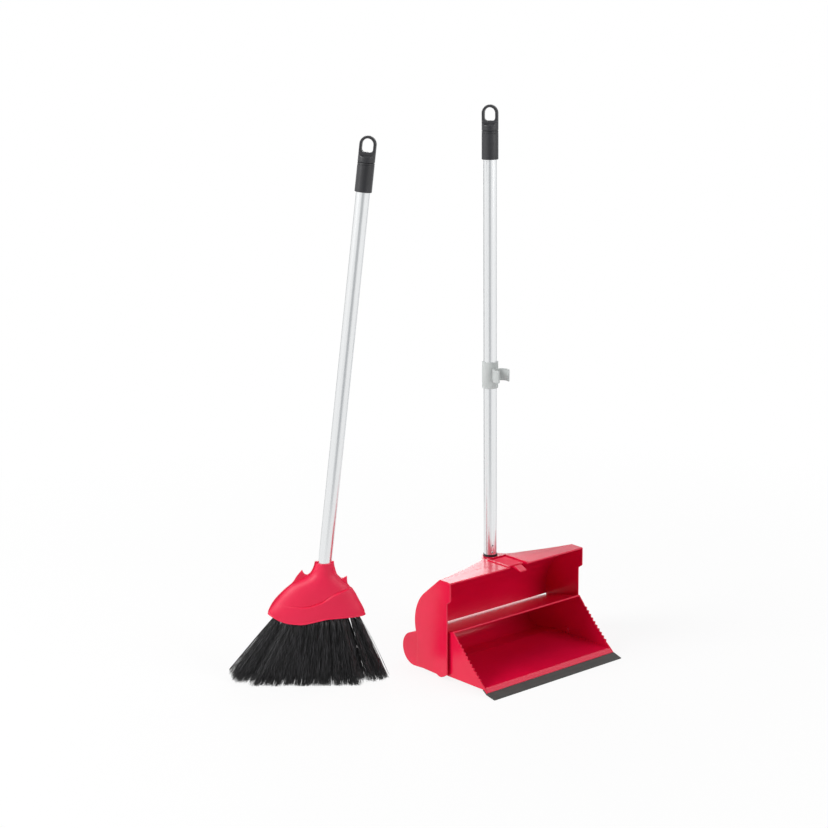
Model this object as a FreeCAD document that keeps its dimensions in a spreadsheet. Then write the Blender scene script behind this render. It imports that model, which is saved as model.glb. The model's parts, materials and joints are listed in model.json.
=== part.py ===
import FreeCAD, Part
import math
import os
from types import SimpleNamespace

from FreeCAD import Placement, Rotation, Vector

# An upright dust pan with a hood and a pole, and the lobby broom that stands beside it.
# Millimetres and degrees. +Z is up, the floor is z = 0 and the pan's mouth faces -Y.
# The pan's pieces are drawn from the floor point under the middle of the hood's front edge:
# x to the right, y to the back, z up. The broom's pieces are drawn from the floor point that
# the line of its pole meets: x along the brush, y through its depth, z up.

DRIVING_SIZES = {
    # Where the two tools stand
    "pan_x": 127.0,
    "pan_y": -67.5,
    "broom_x": -173.6,
    "broom_y": 91.1,
    "broom_turn": -39.0,
    # Hood: two side panels, and a top plate that runs down the back as a barrel
    "hood_width": 296.0,
    "hood_wall": 2.5,
    "hood_top": 169.4,
    "brow_depth": 9.0,
    "brow_bottom": 132.0,
    "brow_step": 6.0,
    "barrel_y": 13.3,
    "barrel_z": 84.0,
    "barrel_radius": 69.0,
    "barrel_slope": 39.5,
    "shell_edge_drop": 17.5,
    "panel_inset": 6.3,
    "panel_bottom": 5.5,
    "panel_chamfer": 10.0,
    "panel_chamfer_rise": 6.5,
    "hood_edge_round": 1.6,
    # Ledge of the top plate behind the barrel, and the gussets under it
    "ledge_inset": 4.0,
    "ledge_middle_x": 84.0,
    "ledge_middle_back": 14.8,
    "ledge_inner_x": 30.0,
    "ledge_inner_back": 10.4,
    "gusset_wall": 2.0,
    "gusset_first": 45.0,
    "gusset_pitch": 38.0,
    "gusset_inset": 1.2,
    # Pole socket in the hood
    "pole_setback": 43.2,
    "socket_wall": 3.4,
    "socket_plug": 25.0,
    "socket_screw_drop": 14.0,
    "screw_seat_rise": 0.8,
    "screw_seat_radius": 4.6,
    # Pivot of the pan in the hood's feet
    "pivot_y": 19.0,
    "pivot_z": 16.0,
    "foot_radius": 13.0,
    "pivot_radius": 3.0,
    "pivot_skin": 1.2,
    "pivot_head_radius": 4.5,
    "pivot_head": 1.5,
    # Pan: floor, round bin at the back, top panel, and comb teeth on the side walls
    "pan_side_gap": 4.0,
    "pan_wall": 2.5,
    "rim_y": -8.3,
    "rim_z": 86.0,
    "bend_y": 77.5,
    "bend_z": 65.0,
    "lip_y": -91.0,
    "lip_z": 6.5,
    "lip_wall": 2.0,
    "ramp_length": 8.0,
    "ramp_rise": 5.7,
    "floor_break_y": 51.0,
    "floor_break_z": 9.8,
    "keel_y": 10.0,
    "keel_z": 7.0,
    "bin_y": 93.5,
    "bin_radius": 28.5,
    "comb_start": 25.0,
    "comb_pitch": 7.2,
    "comb_count": 10,
    "comb_tooth": 2.0,
    # Rubber lip under the pan's front edge
    "rubber_reach": 18.0,
    "rubber_sole": 3.5,
    "rubber_tip": 1.3,
    "rubber_grip": 2.5,
    "rubber_wall": 2.3,
    # Catch lever in the hood's top plate
    "catch_half": 18.7,
    "catch_depth": 6.0,
    "lever_width": 31.0,
    "lever_wall": 3.0,
    "lever_front": -2.0,
    "lever_rear_gap": 2.4,
    "socket_front_wall": 2.3,
    "nose_width": 14.6,
    "nose_back": 2.0,
    "nose_rear": -7.0,
    "nose_reach": 12.0,
    "nose_recess": 2.4,
    "nose_drop": 6.1,
    "nose_tip": 2.6,
    "hub_radius": 3.5,
    "hub_drop": 9.4,
    "hub_inset": 1.0,
    "catch_pin_radius": 1.5,
    # Poles
    "tube_radius": 11.0,
    "tube_wall": 1.0,
    "pan_tube_top": 872.0,
    "insert_collar": 3.8,
    "insert_collar_radius": 11.9,
    "insert_plug": 24.0,
    "rivet_turn": -22.0,
    "rivet_rise": 4.5,
    "rivet_pitch": 12.0,
    "rivet_radius": 1.3,
    "rivet_length": 6.0,
    "rivet_head_radius": 2.1,
    "rivet_head": 0.7,
    # Grip sleeves and hanging eyes
    "grip_length": 44.9,
    "grip_wall": 2.35,
    "grip_cap": 1.6,
    "grip_groove": 0.4,
    "grip_groove_drop": 3.0,
    "eye_length": 41.1,
    "eye_thickness": 9.0,
    "eye_shoulder": 15.0,
    "eye_shoulder_rise": 6.0,
    "eye_hole_half": 9.1,
    "eye_hole_bottom": 16.0,
    "eye_hole_corner": 4.5,
    "eye_plug": 26.0,
    "eye_plug_gap": 0.08,
    "pan_eye_turn": -55.0,
    "broom_eye_turn": -10.0,
    # Broom clip on the pan's pole
    "clip_low": 457.0,
    "clip_height": 44.0,
    "clip_wall": 2.2,
    "jaw_rise": 14.0,
    "jaw_height": 20.0,
    "jaw_wall": 2.4,
    "jaw_reach": 27.0,
    "jaw_opening": 122.0,
    "jaw_neck": 12.0,
    # Broom head, as ovals at six heights: middle, half the width and half the depth
    "handle_lean": 6.85,
    "neck_z": 197.0,
    "neck_x": 23.7,
    "neck_half": 13.9,
    "neck_deep": 13.9,
    "collar_z": 180.0,
    "collar_x": 21.6,
    "collar_half": 19.0,
    "collar_deep": 15.0,
    "shoulder_z": 159.0,
    "shoulder_x": 14.0,
    "shoulder_half": 46.5,
    "shoulder_deep": 19.0,
    "waist_z": 134.0,
    "waist_x": 10.3,
    "waist_half": 65.8,
    "waist_deep": 22.0,
    "hem_z": 108.0,
    "hem_x": 7.8,
    "hem_half": 78.8,
    "hem_deep": 24.0,
    "skirt_drop": 20.0,
    # Lower edge of the head, which dips to the left of the middle
    "edge_left_rise": 2.5,
    "edge_bend_x": -50.0,
    "edge_bend_z": 101.5,
    "edge_low_x": -22.0,
    "edge_low_z": 98.4,
    "edge_climb_x": 10.0,
    "edge_climb_z": 103.2,
    "edge_crest_x": 40.0,
    "edge_crest_z": 108.0,
    "edge_right_drop": 0.5,
    # Core between the two covers: a wing with two horns, a block for the tufts and a spigot
    "cover_wall": 2.5,
    "wing_wall": 4.0,
    "left_notch_x": -5.0,
    "left_notch_z": 176.0,
    "left_horn_x": -13.8,
    "left_horn_z": 184.1,
    "right_notch_x": 47.2,
    "right_notch_z": 169.0,
    "right_horn_x": 58.6,
    "right_horn_z": 173.1,
    "block_low": 112.0,
    "block_height": 12.0,
    "block_end_gap": 1.2,
    "block_side_gap": 2.2,
    "spigot_low": 122.0,
    "spigot_length": 110.0,
    "broom_tube_low": 172.0,
    "broom_tube_top": 840.0,
    # Screws through the rear cover
    "cover_screw_inset": 31.0,
    "cover_seat_depth": 2.4,
    "cover_seat_wall": 1.6,
    "cover_boss_radius": 5.0,
    # Tufts
    "tuft_radius": 2.2,
    "tuft_tip_radius": 4.8,
    "tuft_pitch": 8.2,
    "tuft_end_margin": 3.5,
    "tuft_row_pitch": 8.6,
    "tuft_fan": 1.84,
    "tuft_fan_shift": -19.6,
    "tuft_row_fan": 1.7,
    # Screws
    "screw_radius": 1.75,
    "screw_head_radius": 3.5,
    "screw_head": 2.2,
    "screw_length": 12.0,
    "screw_slot": 0.9,
    "screw_slot_length": 4.2,
    "screw_slot_depth": 1.2,
    # Fits
    "running_gap": 0.06,
    "slip_gap": 0.05,
    "face_gap": 0.3,
}

doc = FreeCAD.newDocument("dustpan_and_broom")
sheet = doc.addObject("Spreadsheet::Sheet", "Sizes")
for row, (alias, value) in enumerate(DRIVING_SIZES.items(), start=1):
    sheet.set(f"A{row}", alias)
    sheet.set(f"B{row}", str(value))
    sheet.setAlias(f"B{row}", alias)
doc.recompute()
S = SimpleNamespace(**{alias: float(sheet.get(alias)) for alias in DRIVING_SIZES})

X_AXIS = Vector(1, 0, 0)
Y_AXIS = Vector(0, 1, 0)
Z_AXIS = Vector(0, 0, 1)
THROUGH = 2000.0
OVERRUN = 30.0
TUFT_ROWS = 4

pieces = []


# ---- Places ----

def pan_place(x=0.0, y=0.0, z=0.0):
    """A place in the pan's own coordinates."""
    return Placement(Vector(S.pan_x + x, S.pan_y + y, z), Rotation())


def broom_place():
    """The broom's floor point, with its brush along local X."""
    return Placement(Vector(S.broom_x, S.broom_y, 0), Rotation(Z_AXIS, S.broom_turn))


def along_handle(distance):
    """A place on the line of the broom's pole, in the broom's coordinates, with Z up the pole."""
    lean = Placement(Vector(), Rotation(Y_AXIS, S.handle_lean))
    return lean * Placement(Vector(0, 0, distance), Rotation())


def facing(x, y, z, axis, angle):
    return Placement(Vector(x, y, z), Rotation(axis, angle))


# ---- Outlines ----

def outline(points):
    """A closed run of lines and arcs: (a, b) is a corner and (middle, end) is an arc to end."""
    curves = []
    here = Vector(*points[0], 0)
    for step in points[1:] + points[:1]:
        if isinstance(step[0], tuple):
            middle, end = Vector(*step[0], 0), Vector(*step[1], 0)
            curves.append(Part.Arc(here, middle, end))
        else:
            end = Vector(*step, 0)
            curves.append(Part.LineSegment(here, end))
        here = end
    return curves


def rectangle(left, low, right, high):
    return outline([(left, low), (right, low), (right, high), (left, high)])


def circle(a, b, radius):
    return [Part.Circle(Vector(a, b, 0), Z_AXIS, radius)]


def ellipse(a, b, half, deep):
    oval = Part.Ellipse(Vector(a, b, 0), max(half, deep), min(half, deep))
    if deep > half:
        oval.AngleXU = math.pi / 2
    return [oval]


def on_circle(centre, radius, degrees):
    angle = math.radians(degrees)
    return centre[0] + radius * math.cos(angle), centre[1] + radius * math.sin(angle)


def touch_point(point, centre, radius, side):
    """Where a line from the point touches the circle: side is +1 or -1, which of the two lines."""
    away_a, away_b = point[0] - centre[0], point[1] - centre[1]
    turn = math.acos(radius / math.hypot(away_a, away_b))
    return on_circle(centre, radius, math.degrees(math.atan2(away_b, away_a) + side * turn))


def between(first, second, share):
    return tuple(a + (b - a) * share for a, b in zip(first, second))


def beyond(first, second, distance):
    """The point on the line from first to second that lies a distance past second."""
    length = math.dist(first, second)
    return between(first, second, 1 + distance / length)


def meeting(first, second, third, fourth):
    """Where the line through the first two points crosses the line through the last two."""
    run_a, run_b = second[0] - first[0], second[1] - first[1]
    other_a, other_b = fourth[0] - third[0], fourth[1] - third[1]
    cross = run_a * other_b - run_b * other_a
    share = ((third[0] - first[0]) * other_b - (third[1] - first[1]) * other_a) / cross
    return between(first, second, share)


# ---- Bodies and features ----

def new_body(name, place):
    body = doc.addObject("PartDesign::Body", name)
    body.Label = name
    body.Placement = place
    pieces.append(body)
    return body


def origin_feature(body, role):
    return next(item for item in body.Origin.OriginFeatures if item.Role == role)


def new_sketch(body, plane, curves, offset=0.0):
    """A sketch on one of the body's own planes, moved along that plane's normal."""
    sketch = body.newObject("Sketcher::SketchObject", "Outline")
    sketch.AttachmentSupport = [(origin_feature(body, plane), "")]
    sketch.MapMode = "FlatFace"
    sketch.AttachmentOffset = Placement(Vector(0, 0, offset), Rotation())
    sketch.addGeometry(curves, False)
    return sketch


def extrude(body, kind, sketch, length, symmetric, reverse):
    feature = body.newObject("PartDesign::" + kind, kind)
    feature.Profile = sketch
    if symmetric:
        feature.SideType = "Symmetric"
    feature.Reversed = reverse
    feature.setExpression("Length", str(length))
    doc.recompute()
    return feature


def pad(body, plane, curves, length, offset=0.0, symmetric=False, reverse=False):
    """Adds the sketch, drawn out by an expression on the sheet."""
    sketch = new_sketch(body, plane, curves, offset)
    return extrude(body, "Pad", sketch, length, symmetric, reverse)


def pocket(body, plane, curves, length, offset=0.0, symmetric=False, reverse=False):
    """Cuts the sketch out of the body, and stops if nothing was cut."""
    before = body.Shape.Volume
    sketch = new_sketch(body, plane, curves, offset)
    feature = extrude(body, "Pocket", sketch, length, symmetric, reverse)
    if feature.Shape.Volume > before - 1e-3:
        raise RuntimeError(f"{body.Label}: {feature.Name} cuts nothing")
    return feature


def cylinder(body, kind, place, radius, height):
    """A round boss (Additive) or hole (Subtractive) along the place's Z axis."""
    feature = body.newObject(f"PartDesign::{kind}Cylinder", kind)
    feature.Placement = place
    feature.setExpression("Radius", radius)
    feature.setExpression("Height", str(height))
    doc.recompute()
    return feature


def revolve(body, points):
    """Turns an (r, z) outline about the body's Z axis."""
    feature = body.newObject("PartDesign::Revolution", "Revolution")
    feature.Profile = new_sketch(body, "XZ_Plane", outline(points))
    feature.ReferenceAxis = (origin_feature(body, "Z_Axis"), [""])
    feature.Angle = 360.0
    doc.recompute()
    return feature


def round_edges(body, base, chosen, radius):
    """Rounds the edges of the feature that the test picks."""
    fillet = body.newObject("PartDesign::Fillet", "Fillet")
    names = [f"Edge{number}" for number, edge in enumerate(base.Shape.Edges, 1) if chosen(edge)]
    fillet.Base = (base, names)
    fillet.setExpression("Radius", radius)
    doc.recompute()
    return fillet


def screw(name, place):
    """A pan-head screw with a cross slot: the head's seat is at z = 0 and the shank runs up Z."""
    body = new_body(name, place)
    shoulder = S.screw_head / 2
    revolve(body, [
        (0, -S.screw_head),
        (S.screw_head_radius - shoulder, -S.screw_head),
        (S.screw_head_radius, -shoulder),
        (S.screw_head_radius, 0),
        (S.screw_radius, 0),
        (S.screw_radius, S.screw_length),
        (0, S.screw_length),
    ])
    for across, along in ((S.screw_slot, S.screw_slot_length), (S.screw_slot_length, S.screw_slot)):
        slot = rectangle(-across / 2, -along / 2, across / 2, along / 2)
        pocket(body, "XY_Plane", slot, "Sizes.screw_slot_depth", offset=-S.screw_head, reverse=True)
    return body


# ---- Hood ----

HOOD_HALF = S.hood_width / 2
BARREL = (S.barrel_y, S.barrel_z)
BARREL_INSIDE = S.barrel_radius - S.hood_wall
SLOPE_NORMAL = 90.0 - S.barrel_slope
PANEL_REAR = S.barrel_y + S.barrel_radius - S.panel_inset


def slope_y(height, radius):
    """The y of the barrel's sloping front face at a height."""
    touch_y, touch_z = on_circle(BARREL, radius, SLOPE_NORMAL)
    return touch_y - (height - touch_z) / math.tan(math.radians(S.barrel_slope))


def slope_z(y, radius):
    """The height of the barrel's sloping face at a y."""
    touch_y, touch_z = on_circle(BARREL, radius, SLOPE_NORMAL)
    return touch_z + (touch_y - y) * math.tan(math.radians(S.barrel_slope))


SLOPE_TOP = slope_y(S.hood_top, S.barrel_radius)
POLE_Y = SLOPE_TOP + S.pole_setback
POLE_BORE = S.tube_radius + S.slip_gap
SOCKET_RADIUS = POLE_BORE + S.socket_wall
CATCH_REAR = POLE_Y - SOCKET_RADIUS - S.socket_front_wall
LEVER_REAR = CATCH_REAR - S.lever_rear_gap
HUB_Y = LEVER_REAR - S.hub_radius - S.hub_inset
HUB_Z = S.hood_top - S.hub_drop
SEAT_Y = POLE_Y + SOCKET_RADIUS + S.screw_seat_rise
SEAT_Z = S.hood_top - S.socket_screw_drop


def ledge_corners():
    """Rear edge of the top plate on the right, from the side panel to the pole's socket."""
    inner = (S.ledge_inner_x, POLE_Y - S.ledge_inner_back)
    return [
        (HOOD_HALF - S.ledge_inset, SLOPE_TOP - S.face_gap),
        (S.ledge_middle_x, SLOPE_TOP + S.ledge_middle_back),
        inner,
        touch_point(inner, (0, POLE_Y), SOCKET_RADIUS, 1),
    ]


def ledge_y(x):
    """The y of the top plate's rear edge at a distance from the middle."""
    corners = ledge_corners()
    for outer, inner in zip(corners, corners[1:]):
        if inner[0] <= x <= outer[0]:
            return between(outer, inner, (outer[0] - x) / (outer[0] - inner[0]))[1]
    raise ValueError(f"no ledge at x = {x}")


def hood_side_outline():
    touch = on_circle(BARREL, S.barrel_radius, SLOPE_NORMAL)
    drop = math.sqrt(S.barrel_radius ** 2 - (PANEL_REAR - S.barrel_y) ** 2)
    return outline([
        (0, S.panel_bottom + S.panel_chamfer_rise),
        (0, S.brow_bottom),
        (-S.brow_depth, S.brow_bottom + S.brow_step),
        (-S.brow_depth, S.hood_top),
        (SLOPE_TOP, S.hood_top),
        touch,
        (on_circle(BARREL, S.barrel_radius, 0), (PANEL_REAR, S.barrel_z - drop)),
        (PANEL_REAR, S.panel_bottom),
        (S.panel_chamfer, S.panel_bottom),
    ])


def hood_inside_outline():
    """The space between the side panels, under the plate and in front of the barrel."""
    ceiling = S.hood_top - S.hood_wall
    front = -S.brow_depth - OVERRUN
    edge_z = S.barrel_z - S.shell_edge_drop
    edge_y = S.barrel_y + math.sqrt(BARREL_INSIDE ** 2 - S.shell_edge_drop ** 2)
    rear = S.barrel_y + S.barrel_radius + OVERRUN
    return outline([
        (front, -OVERRUN),
        (front, ceiling),
        (slope_y(ceiling, BARREL_INSIDE), ceiling),
        on_circle(BARREL, BARREL_INSIDE, SLOPE_NORMAL),
        (on_circle(BARREL, BARREL_INSIDE, 0), (edge_y, edge_z)),
        (rear, edge_z),
        (rear, -OVERRUN),
    ])


def gusset_outline(x):
    """A web between the barrel and the ledge, with its corners inside their walls."""
    middle_radius = S.barrel_radius - S.hood_wall / 2
    under_plate = S.hood_top - S.hood_wall / 2
    rear = ledge_y(x) - S.gusset_inset
    return outline([
        (slope_y(under_plate, middle_radius), under_plate),
        (rear, under_plate),
        (rear, slope_z(rear, middle_radius)),
    ])


def make_hood_shell():
    body = new_body("hood_shell", pan_place())
    prism = pad(body, "YZ_Plane", hood_side_outline(), "Sizes.hood_width", symmetric=True)

    def on_a_side_above_the_step(edge):
        centre = edge.CenterOfMass
        on_side = abs(abs(centre.x) - HOOD_HALF) < 1e-3
        return on_side and centre.z > S.brow_bottom + S.brow_step

    round_edges(body, prism, on_a_side_above_the_step, "Sizes.hood_edge_round")

    pivot = circle(S.pivot_y, S.pivot_z, S.foot_radius)
    pad(body, "YZ_Plane", pivot, "Sizes.hood_width", symmetric=True)

    corners = ledge_corners()
    left = [(-x, y) for x, y in reversed(corners)]
    behind_socket = ((0, POLE_Y + SOCKET_RADIUS), left[0])
    ledge = outline(corners + [behind_socket] + left[1:])
    pad(body, "XY_Plane", ledge, "Sizes.hood_wall", offset=S.hood_top, reverse=True)

    socket = circle(0, POLE_Y, SOCKET_RADIUS)
    socket_length = "Sizes.hood_top - Sizes.barrel_z"
    pad(body, "XY_Plane", socket, socket_length, offset=S.hood_top, reverse=True)
    seat = facing(0, SEAT_Y, SEAT_Z, X_AXIS, 90)
    cylinder(body, "Additive", seat, "Sizes.screw_seat_radius", S.socket_wall)

    inside = "Sizes.hood_width - 2 * Sizes.hood_wall"
    pocket(body, "YZ_Plane", hood_inside_outline(), inside, symmetric=True)

    catch_wall_x = S.catch_half + S.gusset_wall / 2
    gusset_places = [S.gusset_first + S.gusset_pitch * number for number in range(3)]
    for x in [catch_wall_x] + gusset_places:
        for side in (-1, 1):
            web = gusset_outline(x)
            low = side * x - S.gusset_wall / 2
            pad(body, "YZ_Plane", web, "Sizes.gusset_wall", offset=low)

    front = -S.brow_depth - OVERRUN
    cut_out = rectangle(-S.catch_half, front, S.catch_half, CATCH_REAR)
    pocket(body, "XY_Plane", cut_out, "Sizes.catch_depth", offset=S.hood_top)
    bore_depth = "Sizes.socket_plug + Sizes.face_gap"
    pocket(body, "XY_Plane", circle(0, POLE_Y, POLE_BORE), bore_depth, offset=S.hood_top)

    pin_length = 2 * (S.catch_half + S.gusset_wall)
    pin_hole = circle(HUB_Y, HUB_Z, S.catch_pin_radius)
    pocket(body, "YZ_Plane", pin_hole, pin_length + S.gusset_wall, symmetric=True)
    cylinder(body, "Subtractive", seat, "Sizes.screw_radius", S.screw_length)

    boss = "Sizes.pan_side_gap - Sizes.face_gap"
    inner_face = HOOD_HALF - S.hood_wall
    pad(body, "YZ_Plane", pivot, boss, offset=inner_face, reverse=True)
    pad(body, "YZ_Plane", pivot, boss, offset=-inner_face)
    bore = circle(S.pivot_y, S.pivot_z, S.pivot_radius + S.running_gap)
    bore_reach = "Sizes.hood_width - 2 * Sizes.pivot_skin"
    pocket(body, "YZ_Plane", bore, bore_reach, symmetric=True)


def make_catch_pin():
    body = new_body("latch_pin", pan_place(0, HUB_Y, HUB_Z))
    length = "2 * (Sizes.catch_half + Sizes.gusset_wall)"
    pad(body, "YZ_Plane", circle(0, 0, S.catch_pin_radius), length, symmetric=True)


def make_latch_lever():
    body = new_body("latch_lever", pan_place())
    under = S.hood_top - S.lever_wall
    tongue = outline([
        (S.lever_front, S.hood_top),
        (LEVER_REAR, S.hood_top),
        (LEVER_REAR, under),
        (HUB_Y + S.hub_radius, HUB_Z),
        ((HUB_Y, HUB_Z - S.hub_radius), (HUB_Y - S.hub_radius, HUB_Z)),
        (HUB_Y - S.hub_radius, under),
        (S.lever_front, under),
    ])
    pad(body, "YZ_Plane", tongue, "Sizes.lever_width", symmetric=True)
    front = -S.brow_depth - S.nose_reach
    neck = S.hood_top - S.nose_recess
    tip = S.hood_top - S.nose_drop
    nose = outline([
        (S.nose_back, neck),
        (S.nose_rear, neck),
        (S.nose_rear, S.hood_top),
        (front, tip),
        (front, tip - S.nose_tip),
        (S.nose_rear, neck - S.lever_wall),
        (S.nose_back, neck - S.lever_wall),
    ])
    pad(body, "YZ_Plane", nose, "Sizes.nose_width", symmetric=True)
    hub = circle(HUB_Y, HUB_Z, S.hub_radius)
    hub_length = "2 * (Sizes.catch_half - Sizes.face_gap)"
    pad(body, "YZ_Plane", hub, hub_length, symmetric=True)
    hole = circle(HUB_Y, HUB_Z, S.catch_pin_radius + S.running_gap)
    pocket(body, "YZ_Plane", hole, THROUGH, symmetric=True)


# ---- Pan ----

PIVOT = (S.pivot_y, S.pivot_z)
PAN_HALF = HOOD_HALF - S.hood_wall - S.pan_side_gap
RIM = (S.rim_y, S.rim_z)
BEND = (S.bend_y, S.bend_z)
LIP = (S.lip_y, S.lip_z)
RAMP = (S.lip_y + S.ramp_length, S.lip_z + S.ramp_rise)
KEEL = (S.keel_y, S.keel_z)
BIN = (S.bin_y, S.bin_radius)
FLOOR_BREAK = (S.floor_break_y, S.floor_break_z)
RAMP_UNDER = (RAMP[0], RAMP[1] - S.pan_wall)
RAMP_SLOPE = math.hypot(S.ramp_length, S.ramp_rise)
LIP_UNDER = (
    LIP[0] + S.lip_wall * S.ramp_rise / RAMP_SLOPE,
    LIP[1] - S.lip_wall * S.ramp_length / RAMP_SLOPE,
)
RAMP_CORNER = meeting(
    LIP_UNDER, (LIP_UNDER[0] + S.ramp_length, LIP_UNDER[1] + S.ramp_rise), RAMP_UNDER, KEEL
)


def comb_points():
    """Teeth along the side wall's sloping edge, in order from the lip up to the rim."""
    length = math.dist(RIM, LIP)
    out_y, out_z = (LIP[1] - RIM[1]) / length, (RIM[0] - LIP[0]) / length
    points = []
    for number in reversed(range(int(S.comb_count))):
        at = S.comb_start + S.comb_pitch * number
        low_y, low_z = between(RIM, LIP, (at + S.comb_tooth) / length)
        mid_y, mid_z = between(RIM, LIP, at / length)
        high_y, high_z = between(RIM, LIP, (at - S.comb_tooth) / length)
        points.append((low_y, low_z))
        points.append((mid_y + out_y * S.comb_tooth, mid_z + out_z * S.comb_tooth))
        points.append((high_y, high_z))
    return points


def pan_side_outline():
    heel = touch_point(KEEL, BIN, S.bin_radius, 1)
    crown = touch_point(BEND, BIN, S.bin_radius, -1)
    return outline([
        RIM,
        BEND,
        crown,
        (on_circle(BIN, S.bin_radius, 0), heel),
        KEEL,
        RAMP_CORNER,
        LIP_UNDER,
        LIP,
    ] + comb_points())


def pan_inside_outline():
    inside = S.bin_radius - S.pan_wall
    heel = touch_point(FLOOR_BREAK, BIN, inside, 1)
    rim_under = (S.rim_y, S.rim_z - S.pan_wall)
    bend_under = (S.bend_y, S.bend_z - S.pan_wall)
    crown = touch_point(bend_under, BIN, inside, -1)
    return outline([
        beyond(RAMP, LIP, OVERRUN / 2),
        RAMP,
        FLOOR_BREAK,
        heel,
        (on_circle(BIN, inside, 0), crown),
        bend_under,
        beyond(bend_under, rim_under, 2 * OVERRUN),
        (S.lip_y - OVERRUN, S.rim_z),
    ])


def make_pan_scoop():
    body = new_body("pan_scoop", pan_place())
    width = "Sizes.hood_width - 2 * Sizes.hood_wall - 2 * Sizes.pan_side_gap"
    pad(body, "YZ_Plane", pan_side_outline(), width, symmetric=True)
    inside = width + " - 2 * Sizes.pan_wall"
    pocket(body, "YZ_Plane", pan_inside_outline(), inside, symmetric=True)
    pocket(body, "YZ_Plane", circle(*PIVOT, S.pivot_radius), THROUGH, symmetric=True)


def make_lip_rubber():
    body = new_body("lip_rubber", pan_place())
    tip_y = S.lip_y - S.rubber_reach
    grip_y = RAMP[0] + S.rubber_grip
    share = (grip_y - RAMP_CORNER[0]) / (KEEL[0] - RAMP_CORNER[0])
    grip = between(RAMP_CORNER, KEEL, share)
    under_y = S.rubber_wall * S.ramp_rise / RAMP_SLOPE
    under_z = S.rubber_wall * S.ramp_length / RAMP_SLOPE
    section = outline([
        grip,
        RAMP_CORNER,
        LIP_UNDER,
        LIP,
        (tip_y, S.rubber_tip),
        (tip_y, 0),
        (tip_y + S.rubber_sole, 0),
        (LIP_UNDER[0] + under_y, LIP_UNDER[1] - under_z),
        (RAMP_CORNER[0] + under_y / 2, RAMP_CORNER[1] - S.rubber_wall),
        (grip[0], grip[1] - S.rubber_wall),
    ])
    width = "Sizes.hood_width - 2 * Sizes.hood_wall - 2 * Sizes.pan_side_gap"
    pad(body, "YZ_Plane", section, width, symmetric=True)


def make_hinge_pin(name, side):
    inner_face = PAN_HALF - S.pan_wall
    place = facing(side * inner_face, *PIVOT, Y_AXIS, side * 90)
    body = new_body(name, pan_place() * place)
    reach = S.pan_wall + S.pan_side_gap + S.hood_wall - S.pivot_skin - S.face_gap
    revolve(body, [
        (0, -S.pivot_head),
        (S.pivot_head_radius, -S.pivot_head),
        (S.pivot_head_radius, 0),
        (S.pivot_radius, 0),
        (S.pivot_radius, reach),
        (0, reach),
    ])


# ---- Poles, grips and hanging eyes ----

TUBE_INSIDE = S.tube_radius - S.tube_wall
PLUG_RADIUS = TUBE_INSIDE - S.slip_gap
PAN_TUBE_LOW = S.hood_top + S.insert_collar
GRIP_RADIUS = POLE_BORE + S.grip_wall


def rivet_place(number):
    """On the surface of the pan's pole, with Z into the pole."""
    height = PAN_TUBE_LOW + S.rivet_rise + S.rivet_pitch * number
    turned = facing(0, 0, height, Z_AXIS, S.rivet_turn)
    return turned * facing(0, -S.tube_radius, 0, X_AXIS, -90)


def make_tube_insert():
    body = new_body("tube_insert", pan_place(0, POLE_Y))
    revolve(body, [
        (0, S.hood_top - S.socket_plug),
        (S.tube_radius, S.hood_top - S.socket_plug),
        (S.tube_radius, S.hood_top),
        (S.insert_collar_radius, S.hood_top),
        (S.insert_collar_radius, PAN_TUBE_LOW),
        (PLUG_RADIUS, PAN_TUBE_LOW),
        (PLUG_RADIUS, PAN_TUBE_LOW + S.insert_plug),
        (0, PAN_TUBE_LOW + S.insert_plug),
    ])
    for number in range(2):
        cylinder(body, "Subtractive", rivet_place(number), "Sizes.rivet_radius", S.rivet_length)
    seat = facing(0, SEAT_Y - POLE_Y, SEAT_Z, X_AXIS, 90)
    cylinder(body, "Subtractive", seat, "Sizes.screw_radius", S.screw_length)


def make_tube(name, place, length):
    body = new_body(name, place)
    pad(body, "XY_Plane", circle(0, 0, S.tube_radius), length)
    pocket(body, "XY_Plane", circle(0, 0, TUBE_INSIDE), THROUGH, symmetric=True)
    return body


def make_pan_tube():
    length = "Sizes.pan_tube_top - Sizes.hood_top - Sizes.insert_collar"
    body = make_tube("pan_tube", pan_place(0, POLE_Y, PAN_TUBE_LOW), length)
    for number in range(2):
        place = facing(0, 0, -PAN_TUBE_LOW, Z_AXIS, 0) * rivet_place(number)
        cylinder(body, "Subtractive", place, "Sizes.rivet_radius", S.tube_radius)


def make_rivet(name, number):
    body = new_body(name, pan_place(0, POLE_Y) * rivet_place(number))
    ease = S.rivet_head / 2
    revolve(body, [
        (0, -S.rivet_head),
        (S.rivet_head_radius - ease, -S.rivet_head),
        (S.rivet_head_radius, -ease),
        (S.rivet_head_radius, 0),
        (S.rivet_radius, 0),
        (S.rivet_radius, S.rivet_length),
        (0, S.rivet_length),
    ])


def make_grip_sleeve(name, tube_top_place):
    """A sleeve that ends just above the tube's top, where its place's z = 0 is."""
    body = new_body(name, tube_top_place)
    top = S.grip_cap
    low = top - S.grip_length
    ease = S.grip_groove
    groove = top - S.grip_groove_drop
    revolve(body, [
        (POLE_BORE, low),
        (GRIP_RADIUS - ease, low),
        (GRIP_RADIUS, low + ease),
        (GRIP_RADIUS, groove - ease),
        (GRIP_RADIUS - ease, groove),
        (GRIP_RADIUS, groove + ease),
        (GRIP_RADIUS, top),
        (POLE_BORE, top),
    ])


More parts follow.
